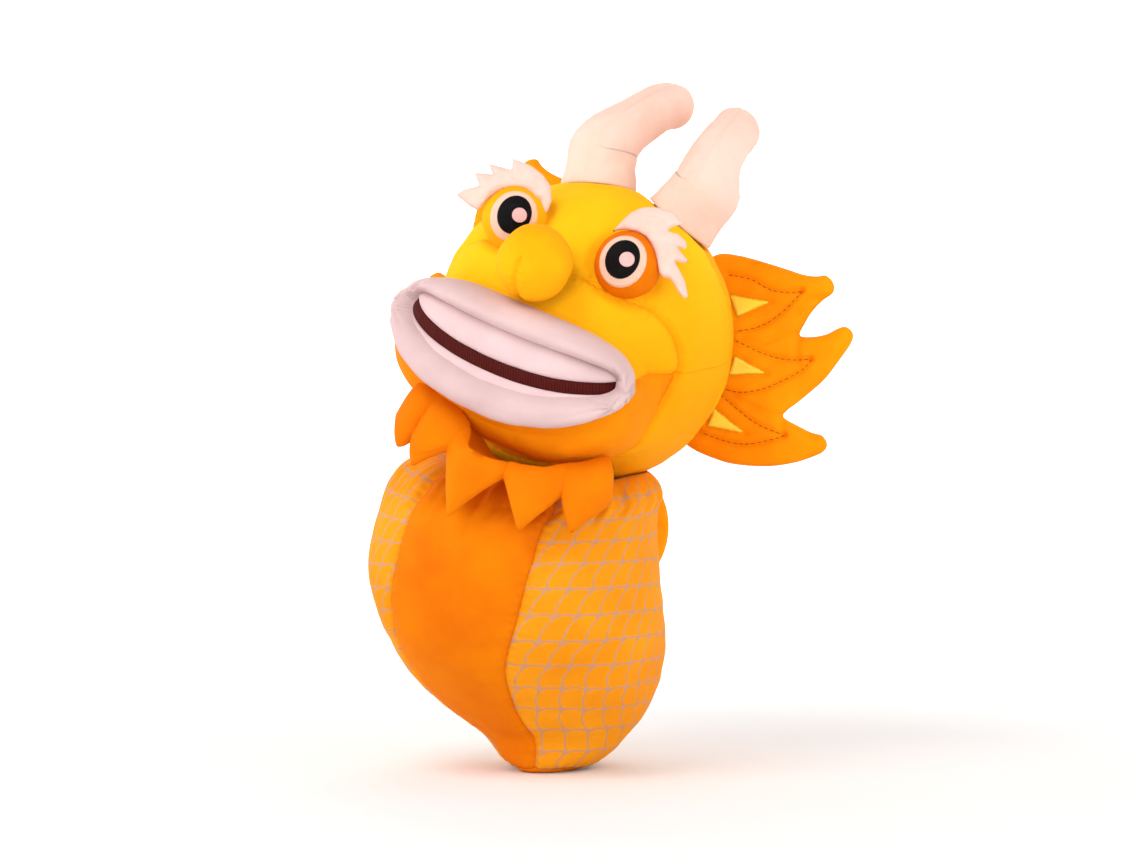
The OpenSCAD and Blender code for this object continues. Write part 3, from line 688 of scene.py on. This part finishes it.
mouth_piece("upper_teeth", 2, 3, 4.2, -1.6, TEETH, "upper_teeth_panel")
mouth_piece("lower_teeth", 0, 1, 4.2, -1.6, TEETH, "lower_teeth_panel")
mouth_piece("smile", 1, 2, 1.3, -1.2, MAROON, "mouth_strip")


# ------------------------------------------------------------- nose and eyes
def ball(name, centre, pole, radius, relief, upto=125, rows=70, cols=128):
    """A stuffed ball drawn from its pole, left open only where it goes into the head."""
    w = unit(pole)
    a = unit(np.cross([0, 0, 1.0], w))
    b = np.cross(w, a)
    tilt = np.linspace(0.4, upto, rows)[:, None]
    spin = (np.arange(cols) * 360 / cols)[None, :]
    way = (np.cos(np.radians(tilt))[..., None] * w
           + np.sin(np.radians(tilt))[..., None] * (cosd(spin)[..., None] * a + sind(spin)[..., None] * b))
    p = centre + radius * way
    outer = p + way * relief(p)[..., None]
    inner = centre + way * (radius - 6)
    return shell(name, from_head(outer), from_head(inner), wrap=True)


def nose_relief(p):
    t = np.linspace(-20, -130, 24)
    line = NOSE + NOSE_RADIUS * np.stack([0 * t, -cosd(t + 16), sind(t + 16)], -1)
    return 0.9 * lumps(p, 40, 21) - 1.2 + seam_dip(p, line, 2.4, 2.2, 0.3)


finish_piece(ball("nose", NOSE, NOSE, NOSE_RADIUS, nose_relief), AMBER, "head", "nose_cover",
             "nose_cover", "nose_filling", fill=0.9)

def eye_axes(k):
    """An eye's axes as columns: right, up and out of the face."""
    return turn("Z", EYE_AIM[k]) @ turn("X", 86)


def eye_round(k, name, lift, thick, rx, ry, right, up, material, slot, hem):
    """A round of sewn cloth lying on an eye mound."""
    q = np.linspace(0.004, 1, 40)[:, None]
    spin = (np.arange(120) * 3)[None, :]
    x, y = right + q * rx * cosd(spin), up + q * ry * sind(spin)
    edge = np.sqrt(np.maximum(1 - smooth(0.9, 1.0, q) ** 2, 0))
    rim = hem * np.exp(-(((q - 0.94) / 0.035) ** 2))

    def at_radius(r):
        z = np.sqrt(np.maximum(r * r - x * x - y * y, 1))
        return from_head(EYES[k] + np.stack([x, y, z], -1) @ eye_axes(k).T)

    top = at_radius(MOUND_RADIUS + lift + thick * edge + rim + 0 * spin)
    low = at_radius(MOUND_RADIUS + lift - 2.0 + 0 * spin + 0 * q)
    return finish_piece(shell(name, top, low, wrap=True), material, "head", slot, slot)


def mound_relief(p):
    return 0.6 * lumps(p, 30, 31) - 0.2


# painted shade: the two mounds are the same cloth, and the toy's left one is given the deeper orange velour,
# the right one the amber
for k, (tag, cloth) in enumerate((("left", ORANGE), ("right", AMBER))):
    mound = ball(tag + "_mound", EYES[k], EYES[k], MOUND_RADIUS, mound_relief)
    finish_piece(mound, cloth, "head", tag + "_eye_mound", tag + "_eye_mound", fill=0.85)
    eye_round(k, tag + "_white", 0.2, 1.4, 20, 22.5, 0, 0, WHITE, tag + "_eye_white", 0.5)
    eye_round(k, tag + "_iris_patch", 1.8, 0.9, 14.5, 17, 0.5, 1, BLACK, tag + "_iris", 0.25)
    eye_round(k, tag + "_glint", 2.9, 0.7, 6.4, 6.4, 5, 2, GLINT, tag + "_highlight", 0.3)


# ------------------------------------------------------- flat stuffed shapes
def sewn_down(p, lines, depth, width):
    """How far rows of stitching pull a stuffed face in at each (u, z) point."""
    return sum(depth * np.exp(-((near(p, line)[0] / width) ** 2)) for line in lines)


def inside(p, loop):
    """Whether each (u, z) point is in a closed loop."""
    hit = np.zeros(len(p), bool)
    for (x0, y0), (x1, y1) in zip(loop, np.roll(loop, -1, axis=0)):
        if y0 != y1:
            crosses = (y0 > p[:, 1]) != (y1 > p[:, 1])
            hit ^= crosses & (p[:, 0] < (x1 - x0) * (p[:, 1] - y0) / (y1 - y0) + x0)
    return hit


def pillow(edge, step, loft, back_loft):
    """A stuffed flat shape: (u, z, height) points and faces. A loft takes points and edge distances."""
    edge = np.asarray(edge, float)
    rim = resample(np.concatenate([edge, edge[:1]]), step)[:-1]
    lo, hi = rim.min(0), rim.max(0)
    grid = [(u + (step / 2 if k % 2 else 0), v) for k, v in enumerate(np.arange(lo[1], hi[1], step * 0.866))
            for u in np.arange(lo[0], hi[0], step)]
    grid = np.array(grid)
    gap, _ = near(grid, np.concatenate([rim, rim[:1]]))
    grid = grid[inside(grid, rim) & (gap > step * 0.6)]
    n = len(rim)
    points = np.concatenate([rim, grid])
    found = geometry.delaunay_2d_cdt([Vector(p) for p in points], [(i, (i + 1) % n) for i in range(n)],
                                     [list(range(n))], 1, 1e-4)
    p2 = np.array([tuple(v) for v in found[0]])
    tris = [tuple(f) for f in found[2]]
    gap, _ = near(p2, np.concatenate([rim, rim[:1]]))
    on_rim = gap < 1e-3
    front, back = loft(p2, gap), back_loft(p2, gap)
    front[on_rim], back[on_rim] = 0, 0
    m = len(p2)
    back_id = np.where(on_rim, np.arange(m), m + np.arange(m))
    pts = np.concatenate([np.column_stack([p2, front]), np.column_stack([p2, -back])])
    faces = tris + [(int(back_id[c]), int(back_id[b]), int(back_id[a])) for a, b, c in tris]
    return pts, faces


def tidy(obj):
    """Drops loose points and turns every face outward."""
    bm = bmesh.new()
    bm.from_mesh(obj.data)
    bmesh.ops.delete(bm, geom=[v for v in bm.verts if not v.link_faces], context="VERTS")
    bmesh.ops.recalc_face_normals(bm, faces=bm.faces)
    bm.to_mesh(obj.data)
    bm.free()
    return obj


# ------------------------------------------------------------------ eyebrows
# outlines in millimetres from the middle of the eye, drawn upright and then turned with the leaning head
BROWS = {
    "left": [
        (-13, 27), (-5, 37), (2, 45), (11, 50), (22, 51), (36, 47), (46, 37), (36, 32), (34, 29),
        (43, 27), (50, 20), (50, 14), (43, 15), (46, 11), (53, 3), (47, 2), (41, 3), (45, -4), (50, -14),
        (52, -26), (49, -28), (45, -24), (42, -18), (38, -12), (33, -12), (29, -8), (27, 0), (25, 9),
        (21, 17), (17, 23), (9, 27), (0, 29), (-7, 29)],
    "right": [
        (-52, 21), (-45, 25), (-31, 28), (-36, 40), (-19, 38), (-24, 48), (-3, 42), (-3, 53), (14, 46),
        (24, 38), (31, 28), (32, 15), (28, 4), (23, 5), (21, 13), (14, 20), (8, 24), (-2, 26), (-12, 24),
        (-21, 18), (-26, 13), (-31, 6), (-39, 10)]}


def soft_dome(full, over):
    return lambda p, gap: full * dome(gap, over)


for k, (tag, drawn) in enumerate(BROWS.items()):
    drawn = np.array(drawn, float)
    lean = HEAD_LEAN
    outline = np.stack([drawn @ [cosd(lean), -sind(lean)], drawn @ [sind(lean), cosd(lean)]], -1)
    loop = resample(np.concatenate([outline, outline[:1]]), 1.3)[:-1]
    loop = (np.roll(loop, 1, axis=0) + 2 * loop + np.roll(loop, -1, axis=0)) / 4
    pts, tris = pillow(loop, 1.3, soft_dome(4.8, 7), soft_dome(4.2, 7))
    out = np.hypot(pts[:, 0], pts[:, 1])
    fluff = 0.7 * lumps(pts, 9, 41) + 0.35 * lumps(pts, 4, 42)
    raise_by = np.sign(pts[:, 2]) * np.minimum(np.abs(pts[:, 2]) / 4, 1) * fluff
    past = np.maximum(out - 27, 0)
    z = 7.5 - past * 0.10 - past ** 2 * 0.012
    brow_at = EYES[k] + np.column_stack([pts[:, :2], z + pts[:, 2] + raise_by]) @ eye_axes(k).T
    brow = tidy(make(tag + "_brow", from_head(brow_at), tris))
    finish_piece(brow, BROW, "head", tag + "_eyebrow", tag + "_eyebrow", fill=0.8)

# --------------------------------------------------------------------- horns
HORN_TIP = 22
for side, tag in SIDES_OF_TOY:
    flip = np.array([side, 1, 1])
    t = np.concatenate([np.linspace(-0.42, 0, 16)[:-1], np.linspace(0, 1, 60)])
    up = np.maximum(t, 0)
    spine = np.stack([-18 * up, 60 * up ** 1.6, 84 * up - 20 * up ** 2], -1)
    spine[t < 0] = (t[t < 0] * 84)[:, None] * HORN_WAY
    width = HORN_TIP + 10 * (1 - up) ** 2.4 + 2.5 * smooth(-0.15, -0.42, t)
    # the rounded tip
    cap_t = np.linspace(0.08, 1, 14)
    tip = spine[-1] + unit([-18, 96, 44]) * HORN_TIP * np.sin(cap_t * np.pi / 2)[:, None]
    spine = np.concatenate([spine, tip])
    width = np.concatenate([width, HORN_TIP * np.cos(cap_t * np.pi / 2) + 0.02])
    way = unit(np.gradient(spine, axis=0))
    degrees = np.arange(96) * 3.75
    a = np.radians(degrees)
    b_side = unit(np.cross(way, [1.0, 0, 0]))
    a_side = np.cross(b_side, way)
    ring = np.cos(a)[None, :, None] * a_side[:, None, :] + np.sin(a)[None, :, None] * b_side[:, None, :]
    p = spine[:, None, :] + width[:, None, None] * ring
    seams = sum(np.exp(-((degrees[None, :] - at) / 4.0) ** 2) for at in (90, 270))
    seam = seams * 1.3 * np.minimum(width[:, None] / 15, 1)
    # a crease on the hollow side where the horn bends back
    halfway = np.exp(-((np.linspace(0, 1, len(spine))[:, None] - 0.5) / 0.15) ** 2)
    crease = np.exp(-((degrees[None, :] - 270) / 60) ** 2) * halfway
    relief = 0.9 * lumps(p, 38, 50 + side) + 0.4 * lumps(p, 15, 52) - seam - 2.0 * crease
    relief *= np.minimum(width[:, None] / 12, 1)
    outer = p + ring * relief[..., None]
    inner = p - ring * np.minimum(4.0, width[:, None, None] * 0.5)
    foot = HORN_WAY * HORN_FOOT
    horn = shell(tag + "_horn", from_head((outer + foot) * flip), from_head((inner + foot) * flip), wrap=True)
    finish_piece(horn, HORN, None, tag + "_horn_cover", tag + "_horn_cover", tag + "_horn_filling",
                 tag + "_horn_seat", fill=0.9)
    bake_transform(horn)

# --------------------------------------------------------------------- frill
FRILL_TURN = turn("Y", HEAD_LEAN)
FRILL_LEFT, FRILL_RIGHT = -70, 128
SPIKES = np.array([-54.0, -34, 15, 74, 112])
ENDS = np.array([-133.0, -141, -167, -155, -141])


def spike_share(x):
    """0 at a spike's point, 1 at the valley beside it, and which spike."""
    half = np.diff(SPIKES) / 2
    left, right = np.concatenate([[16], half]), np.concatenate([half, [16]])
    shares = [np.where(x < at, (at - x) / l, (x - at) / r) for at, l, r in zip(SPIKES, left, right)]
    return np.clip(np.min(shares, axis=0), 0, 1), np.argmin(shares, axis=0)


x = np.linspace(FRILL_LEFT, FRILL_RIGHT, 420)[None, :]
f = np.linspace(0, 2, 90)[:, None]
share, which = spike_share(x)
rim = -102 - 11 * (1 - ((x - 30) / 100) ** 2)
front_y = -167 + 22 * ((x - 8) / 95) ** 2
hang = mix(ENDS[which], rim - 4, np.maximum(np.hypot(share, 0.1) - 0.1, 0) ** 0.66 / 0.9 ** 0.66)
# the points and valleys are rounded off a little
soften = np.hanning(15)[1:-1] / np.hanning(15).sum()
hang = np.convolve(np.pad(hang[0], 6, mode="edge"), soften, mode="valid")[None, :]
q = np.minimum(f, 1)
# its root is raised towards the right cheek, so that it meets the jaw
lifted = smooth(22, -28, x)
upper_y = mix(-118 - 14 * lifted, front_y, np.sin(q * np.pi / 2))
upper_z = mix(-112 + 0.0022 * x * x + 27 * lifted, rim, q * q)
lower = np.maximum(f - 1, 0)
y = np.where(f <= 1, upper_y, front_y + 0 * f)
z = np.where(f <= 1, upper_z, mix(rim, hang, lower))
px = np.where(f <= 1, x * mix(0.9, 1, q), x)
ridge = np.cos(share * np.pi)
y = y - ridge * 4.6 * smooth(0.2, 1.2, f) + 2.5 * share ** 8 * smooth(0.1, 1, f) + 1.5 * (1 - share) * lower
z = z - 2.0 * share * smooth(0.3, 1, f) * smooth(1.6, 1, f)
middle = np.stack([px + 0 * f, y, z], -1)
du, dv = np.gradient(middle, axis=1), np.gradient(middle, axis=0)
normal = unit(np.cross(du, dv))
normal *= np.sign((normal * np.array([0, -1.0, -0.4])).sum(-1, keepdims=True))
gap, _ = near(middle, resample(middle[-1], 3.0))
gap = np.minimum(gap, np.minimum(x - FRILL_LEFT, FRILL_RIGHT - x) + 0 * f)
loft = 5.6 * dome(gap, 9) * (0.6 + 0.4 * smooth(0.6, 1.3, f)) * (1 - 0.3 * share ** 6 * smooth(0.5, 1.1, f))
loft = loft + 0.35 * lumps(middle, 18, 61) * (gap > 6)
valley_dip = 2.2 * share ** 14 * smooth(0.2, 1.1, f)
centre = middle + normal * (4.6 - valley_dip)[..., None]


def from_frill(p):
    return p @ FRILL_TURN.T + HEAD


frill_front = from_frill(centre + normal * loft[..., None])
frill_back = from_frill(centre - normal * (loft * 0.8)[..., None])
frill = shell("frill", frill_front, frill_back)
finish_piece(frill, ORANGE, "head", "frill_front_cloth", "frill_front_cloth", "frill_filling",
             "frill_back_cloth", fill=0.5)

# ---------------------------------------------------------------------- ears
# (u, z) in the ear's own plane: its outline, quilting seams, creases at the notches, and pale triangles
EAR_EDGE = [
    (50, 99), (56, 113), (74, 119), (97, 122), (121, 124), (136, 125), (148, 128), (156, 132), (165, 128),
    (168, 120), (162, 110), (157, 97), (155, 84), (155, 73), (166, 76), (177, 83), (185, 92), (191, 96),
    (199, 93), (201, 84), (197, 65), (192, 46), (185, 31), (177, 16), (171, 6), (170, -1), (183, -3),
    (199, -4), (210, -3), (217, -9), (216, -16), (210, -23), (196, -35), (176, -47), (152, -56),
    (132, -60), (103, -60), (86, -52), (92, -30), (95, 0), (88, 40), (70, 72)]
LEAVES = [
    [(73, 99), (94, 103), (114, 101), (132, 105), (142, 111)],
    [(142, 111), (136, 94), (126, 75), (114, 63), (98, 53)],
    [(97, 45), (106, 46), (130, 45), (153, 48), (174, 57)],
    [(174, 57), (170, 45), (157, 29), (143, 15), (124, 4), (100, 1)],
    [(98, -2), (111, -5), (130, -11), (151, -16), (178, -16)],
    [(178, -16), (175, -19), (162, -29), (146, -38), (127, -42), (104, -43)]]
CREASES = [
    [(155, 73), (140, 66), (124, 52), (108, 50)],
    [(170, -1), (150, -4), (130, -3), (108, -1)],
    [(162, 112), (150, 104), (146, 92)],
    [(155, 73), (158, 60), (166, 48)],
    [(170, -1), (172, -9), (178, -14)]]
INSETS = [
    [(80, 83), (121, 92), (96, 66)],
    [(107, 34), (143, 30), (109, 14)],
    [(108, -17), (147, -28), (109, -36)]]


def ear_place(p, side):
    """(u, z, height off the ear's middle) to the head frame; height is towards the face."""
    sweep = turn("Z", 8)
    hinge = 107 * cosd(9)
    q = np.stack([p[:, 0] - hinge, -p[:, 2], p[:, 1]], -1) @ sweep.T + [hinge, 95, 0]
    return q * [side, 1, 1]


leaf_lines = [curve_through(line, 2.5) for line in LEAVES]
crease_lines = [curve_through(line, 2.5) for line in CREASES]
inset_lines = [resample(np.array(i + i[:1], float), 2.5) for i in INSETS]


def ear_front_loft(p, gap):
    h = 7.4 * dome(gap, 13) - sewn_down(p, leaf_lines, 3.6, 2.3)
    h = h - sewn_down(p, crease_lines, 2.4, 3.0) - sewn_down(p, inset_lines, 1.8, 1.6)
    return np.maximum(h + 0.5 * lumps(np.column_stack([p, 0 * gap]), 17, 71), 0.8)


def ear_front_height(p):
    """The height of the ear's front anywhere well in from its edge."""
    return ear_front_loft(p, np.full(len(p), 20.0))


def inset_loft(p, gap):
    return ear_front_height(p) + 0.4 + 1.6 * dome(gap, 4)


def ear_back_loft(p, gap):
    h = 7.2 * dome(gap, 13) - sewn_down(p, leaf_lines + crease_lines, 2.2, 2.6)
    return np.maximum(h + 0.5 * lumps(np.column_stack([p, 0 * gap]), 19, 72), 0.8)


smooth_edge = curve_through(EAR_EDGE, 2.2, closed=True)[:-1]
ear_points, ear_faces = pillow(smooth_edge, 2.2, ear_front_loft, ear_back_loft)
for side, tag in SIDES_OF_TOY:
    ear = tidy(make(tag + "_ear", from_head(ear_place(ear_points, side)), ear_faces))
    finish_piece(ear, EAR, None, tag + "_ear_front", tag + "_ear_front", tag + "_ear_back",
                 tag + "_ear_filling", fill=0.6)
    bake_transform(ear)
    for corners, part in zip(INSETS, ("upper", "middle", "lower")):
        # three straight sides, with the corners a little rounded
        corners = np.array(corners, float)
        rounded = [mix(a, b, t) for a, b in zip(corners, np.roll(corners, -1, axis=0))
                   for t in (0.06, 0.35, 0.65, 0.94)]
        loop = curve_through(rounded, 1.6, closed=True)[:-1]
        pts, tris = pillow(loop, 1.6, inset_loft, lambda p, gap: 0 * gap)
        low = pts[:, 2] <= 0
        pts[low, 2] = ear_front_height(pts[low, :2]) - 0.6
        patch = tidy(make(tag + "_inset_" + part, from_head(ear_place(pts, side)), tris))
        finish_piece(patch, PALE, None, tag + "_inset_" + part, tag + "_inset_" + part)
        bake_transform(patch)
    threads = [from_head(ear_place(np.column_stack([line, ear_front_height(line) + 0.35]), side))
               for line in leaf_lines]
    sewn = join(tag + "_ear_stitches", stitches(threads))
    finish_piece(sewn, THREAD, None, tag + "_ear_front")
    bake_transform(sewn)

# --------------------------------------------------------------------- torso
FOOT, SHOULDER, NECK_TOP = 3, 262, 300
# (height, value) rows: radius, middle in x, middle in y, and twist of the seams in degrees
RADIUS = [
    (0, 0), (9, 33), (19, 48), (32, 71), (53, 92), (76, 108), (104, 121), (130, 127), (161, 129),
    (187, 129), (218, 126), (248, 122), (281, 116)]
MIDDLE_X = [
    (0, 0), (19, 0), (32, -2), (53, -10), (76, -13), (104, -16), (130, -18), (161, -20), (218, -19),
    (248, -16), (281, -8)]
MIDDLE_Y = [
    (0, 0), (9, 5), (19, 12), (32, 14), (53, 11), (76, 0), (104, -13), (130, -24), (161, -32), (187, -39),
    (218, -37), (248, -34), (281, -16)]
TWIST = [(0, -23), (45, -23), (92, -18), (137, -7), (188, 2), (260, 6), (290, 6)]


def table(rows, z, soft=7.0):
    """A table of heights and values, rounded off between its corners."""
    zs, vs = np.array(rows, float).T
    total = 0
    for shift, weight in ((-1.2, 0.18), (-0.5, 0.22), (0, 0.2), (0.5, 0.22), (1.2, 0.18)):
        at = np.clip(z + shift * soft * np.minimum(1, z / 40), zs[0], zs[-1])
        total = total + weight * np.interp(at, zs, vs)
    return total


def rim_height(b):
    return mix(264 - 24 * cosd(b), 290 - 12 * cosd(b), (1 + sind(b)) / 2)


def settle(z, b):
    """Stretches heights above 187 so that the shoulder follows the sloping rim."""
    return np.where(z < 187, z, 187 + (z - 187) * (rim_height(b) - 187) / 103)


def torso_at(z, j):
    """A point of the torso cloth: z 3 to 262 up the side, then over the shoulder to 300 under the head."""
    z, j = np.broadcast_arrays(np.asarray(z, float), np.asarray(j, float))
    low = np.minimum(z, SHOULDER)
    b = -90 + table(TWIST, low) + 10 * j
    f = np.clip(z / 32, 0, 1) ** 0.75
    r = table(RADIUS, low)
    rx = np.where(z < 32, mix(28, 71, f), r)
    ry = np.where(z < 32, mix(46, 71, f), r)
    near_32 = smooth(18, 44, z)
    rx, ry = mix(rx, r, near_32), mix(ry, r, near_32)
    side = np.stack([table(MIDDLE_X, low) + rx * cosd(b), table(MIDDLE_Y, low) + ry * sind(b),
                     settle(low, b)], -1)
    over = np.clip((z - SHOULDER) / (NECK_TOP - SHOULDER), 0, 1)
    roll = np.sin(over * np.pi / 2)
    shrink = 1 - 0.34 * over ** 1.5
    c = np.stack([mix(-12, 14, 1 - shrink) + 0 * b, mix(-24, 0, (1 - shrink) * 2) + 0 * b], -1)
    rr = 120.0 * shrink
    x, y = c[..., 0] + rr * cosd(b), c[..., 1] + rr * sind(b)
    top = settle(SHOULDER, b) + 24 * roll
    # nothing goes higher than just under the head's ball
    q = np.hypot(x - HEAD[0], y - HEAD[1])
    ball_low = HEAD[2] - np.sqrt(np.maximum((HEAD_RADIUS + 1.2) ** 2 - q * q, 0))
    dish = np.where(q < HEAD_RADIUS + 0.6, ball_low, 1000)
    shoulder = np.stack([x, y, np.minimum(top, dish)], -1)
    t = smooth(256, 272, z)
    return mix(side, shoulder, t[..., None])


def torso_panel(name, j0, j1, material, slot, *nodes):
    z = np.concatenate([np.linspace(FOOT, SHOULDER, 190), np.linspace(SHOULDER, NECK_TOP, 40)[1:]])
    z = z[::-1, None]
    j = np.linspace(j0, j1, int((j1 - j0) * 9) + 1)[None, :]
    p = torso_at(z, j)
    du, dv = np.gradient(p, axis=1), np.gradient(p, axis=0)
    normal = unit(np.cross(dv, du))
    normal *= np.sign((normal * (p - [-10, -20, 150])).sum(-1, keepdims=True))
    lift = 1.6 * lumps(p, 85, 81) + 0.6 * lumps(p, 30, 82)
    for seam in (-3, 3, 18):
        line = torso_at(np.linspace(FOOT, NECK_TOP, 160), np.full(160, float(seam)))
        lift += seam_dip(p, line, 2.4, 2.6, 0.45)
    lift += seam_dip(p, torso_at(np.full(181, float(FOOT)), np.linspace(0, 36, 181)), 1.6, 2.4, 0.6) * 0.8
    lift *= smooth(NECK_TOP, SHOULDER, z) * 0.9 + 0.1
    # the cloth creases into short folds where the neck is gathered in
    folds = 1.6 * np.sin(j * 4.6 + 2 * np.sin(j * 1.3)) + 0.8 * np.sin(j * 9.7)
    lift += folds * smooth(232, SHOULDER, z) * smooth(292, 268, z)
    outer = p + normal * lift[..., None]
    outer[..., 2] = np.maximum(outer[..., 2], 0.4)
    inner = p - normal * 5
    inner[..., 2] = np.maximum(inner[..., 2], 1.2)
    # print coordinates run along the cloth, in millimetres from the front seam and from the foot
    wide = np.linalg.norm(np.diff(p, axis=1), axis=-1)
    u = np.concatenate([np.zeros((len(p), 1)), np.cumsum(wide, axis=1)], axis=1)
    if j0 > 5:
        u = u - u[:, -1:] + 400
    tall = np.linalg.norm(np.diff(p[:, ::40].mean(1), axis=0), axis=-1)
    v = np.concatenate([[0], np.cumsum(tall)])
    v = (v[-1] - v)[:, None] + 0 * j
    obj = shell(name, outer, inner, uv=np.stack([u, v], -1))
    return finish_piece(obj, material, "torso", slot, *nodes, fill=0.85)


torso_panel("belly", -3, 3, ORANGE, "belly_panel", "belly_panel", "torso_filling", "neck_panel")
torso_panel("left_side", 3, 18, SCALES, "left_side_panel", "left_side_panel")
torso_panel("right_side", 18, 33, SCALES, "right_side_panel", "right_side_panel")

# the oval patch it stands on, turned with the seams at the foot
b = (np.arange(144) * 2.5)[None, :] + TWIST[0][1]
rho = np.linspace(1, 0.003, 24)[:, None]
sole = np.stack([28.6 * rho * cosd(b), 46.6 * rho * sind(b), 0.15 + 2.6 * smooth(0.9, 1.0, rho) + 0 * b], -1)
base = shell("base_patch", sole, sole * [0.97, 0.97, 1] + [0, 0, 3.0], wrap=True)
finish_piece(base, DEEP, "torso", "base_panel", "base_panel", fill=0.5)

# ------------------------------------------------------------------ back fin
FIN_ROOT, FIN_AZIMUTH = np.array([3, 88, 213]), 52
fin_edge = [(18 + 62 * cosd(a), 62 * sind(a)) for a in np.linspace(-86, 72, 26)]
fin_edge += [(27, 55), (14, 42), (3, 32), (-1, 20), (-1, -20), (2, -32), (7, -44), (13, -58)]
ribs = [curve_through([(4, y0), (34, y0 * 1.1), (66, y0 * 1.15)], 2.5) for y0 in (-24, 2, 26)]


def fin_loft(p, gap):
    h = 6.6 * dome(gap, 15) - sewn_down(p, ribs, 2.0, 2.6)
    return np.maximum(h + 0.4 * lumps(np.column_stack([p, 0 * gap]), 18, 91), 0.8)


pts, tris = pillow(curve_through(fin_edge, 2.4, closed=True)[:-1], 2.4, fin_loft, fin_loft)
along = np.array([cosd(FIN_AZIMUTH), sind(FIN_AZIMUTH), 0])
off = np.array([sind(FIN_AZIMUTH), -cosd(FIN_AZIMUTH), 0])
fin_at = FIN_ROOT + pts[:, :1] * along + pts[:, 1:2] * [0, 0, 1] + pts[:, 2:] * off
fin = tidy(make("back_fin", fin_at, tris))
finish_piece(fin, EAR, None, "fin_left_cloth", "fin_left_cloth", "fin_right_cloth", "fin_filling", fill=0.6)
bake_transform(fin)
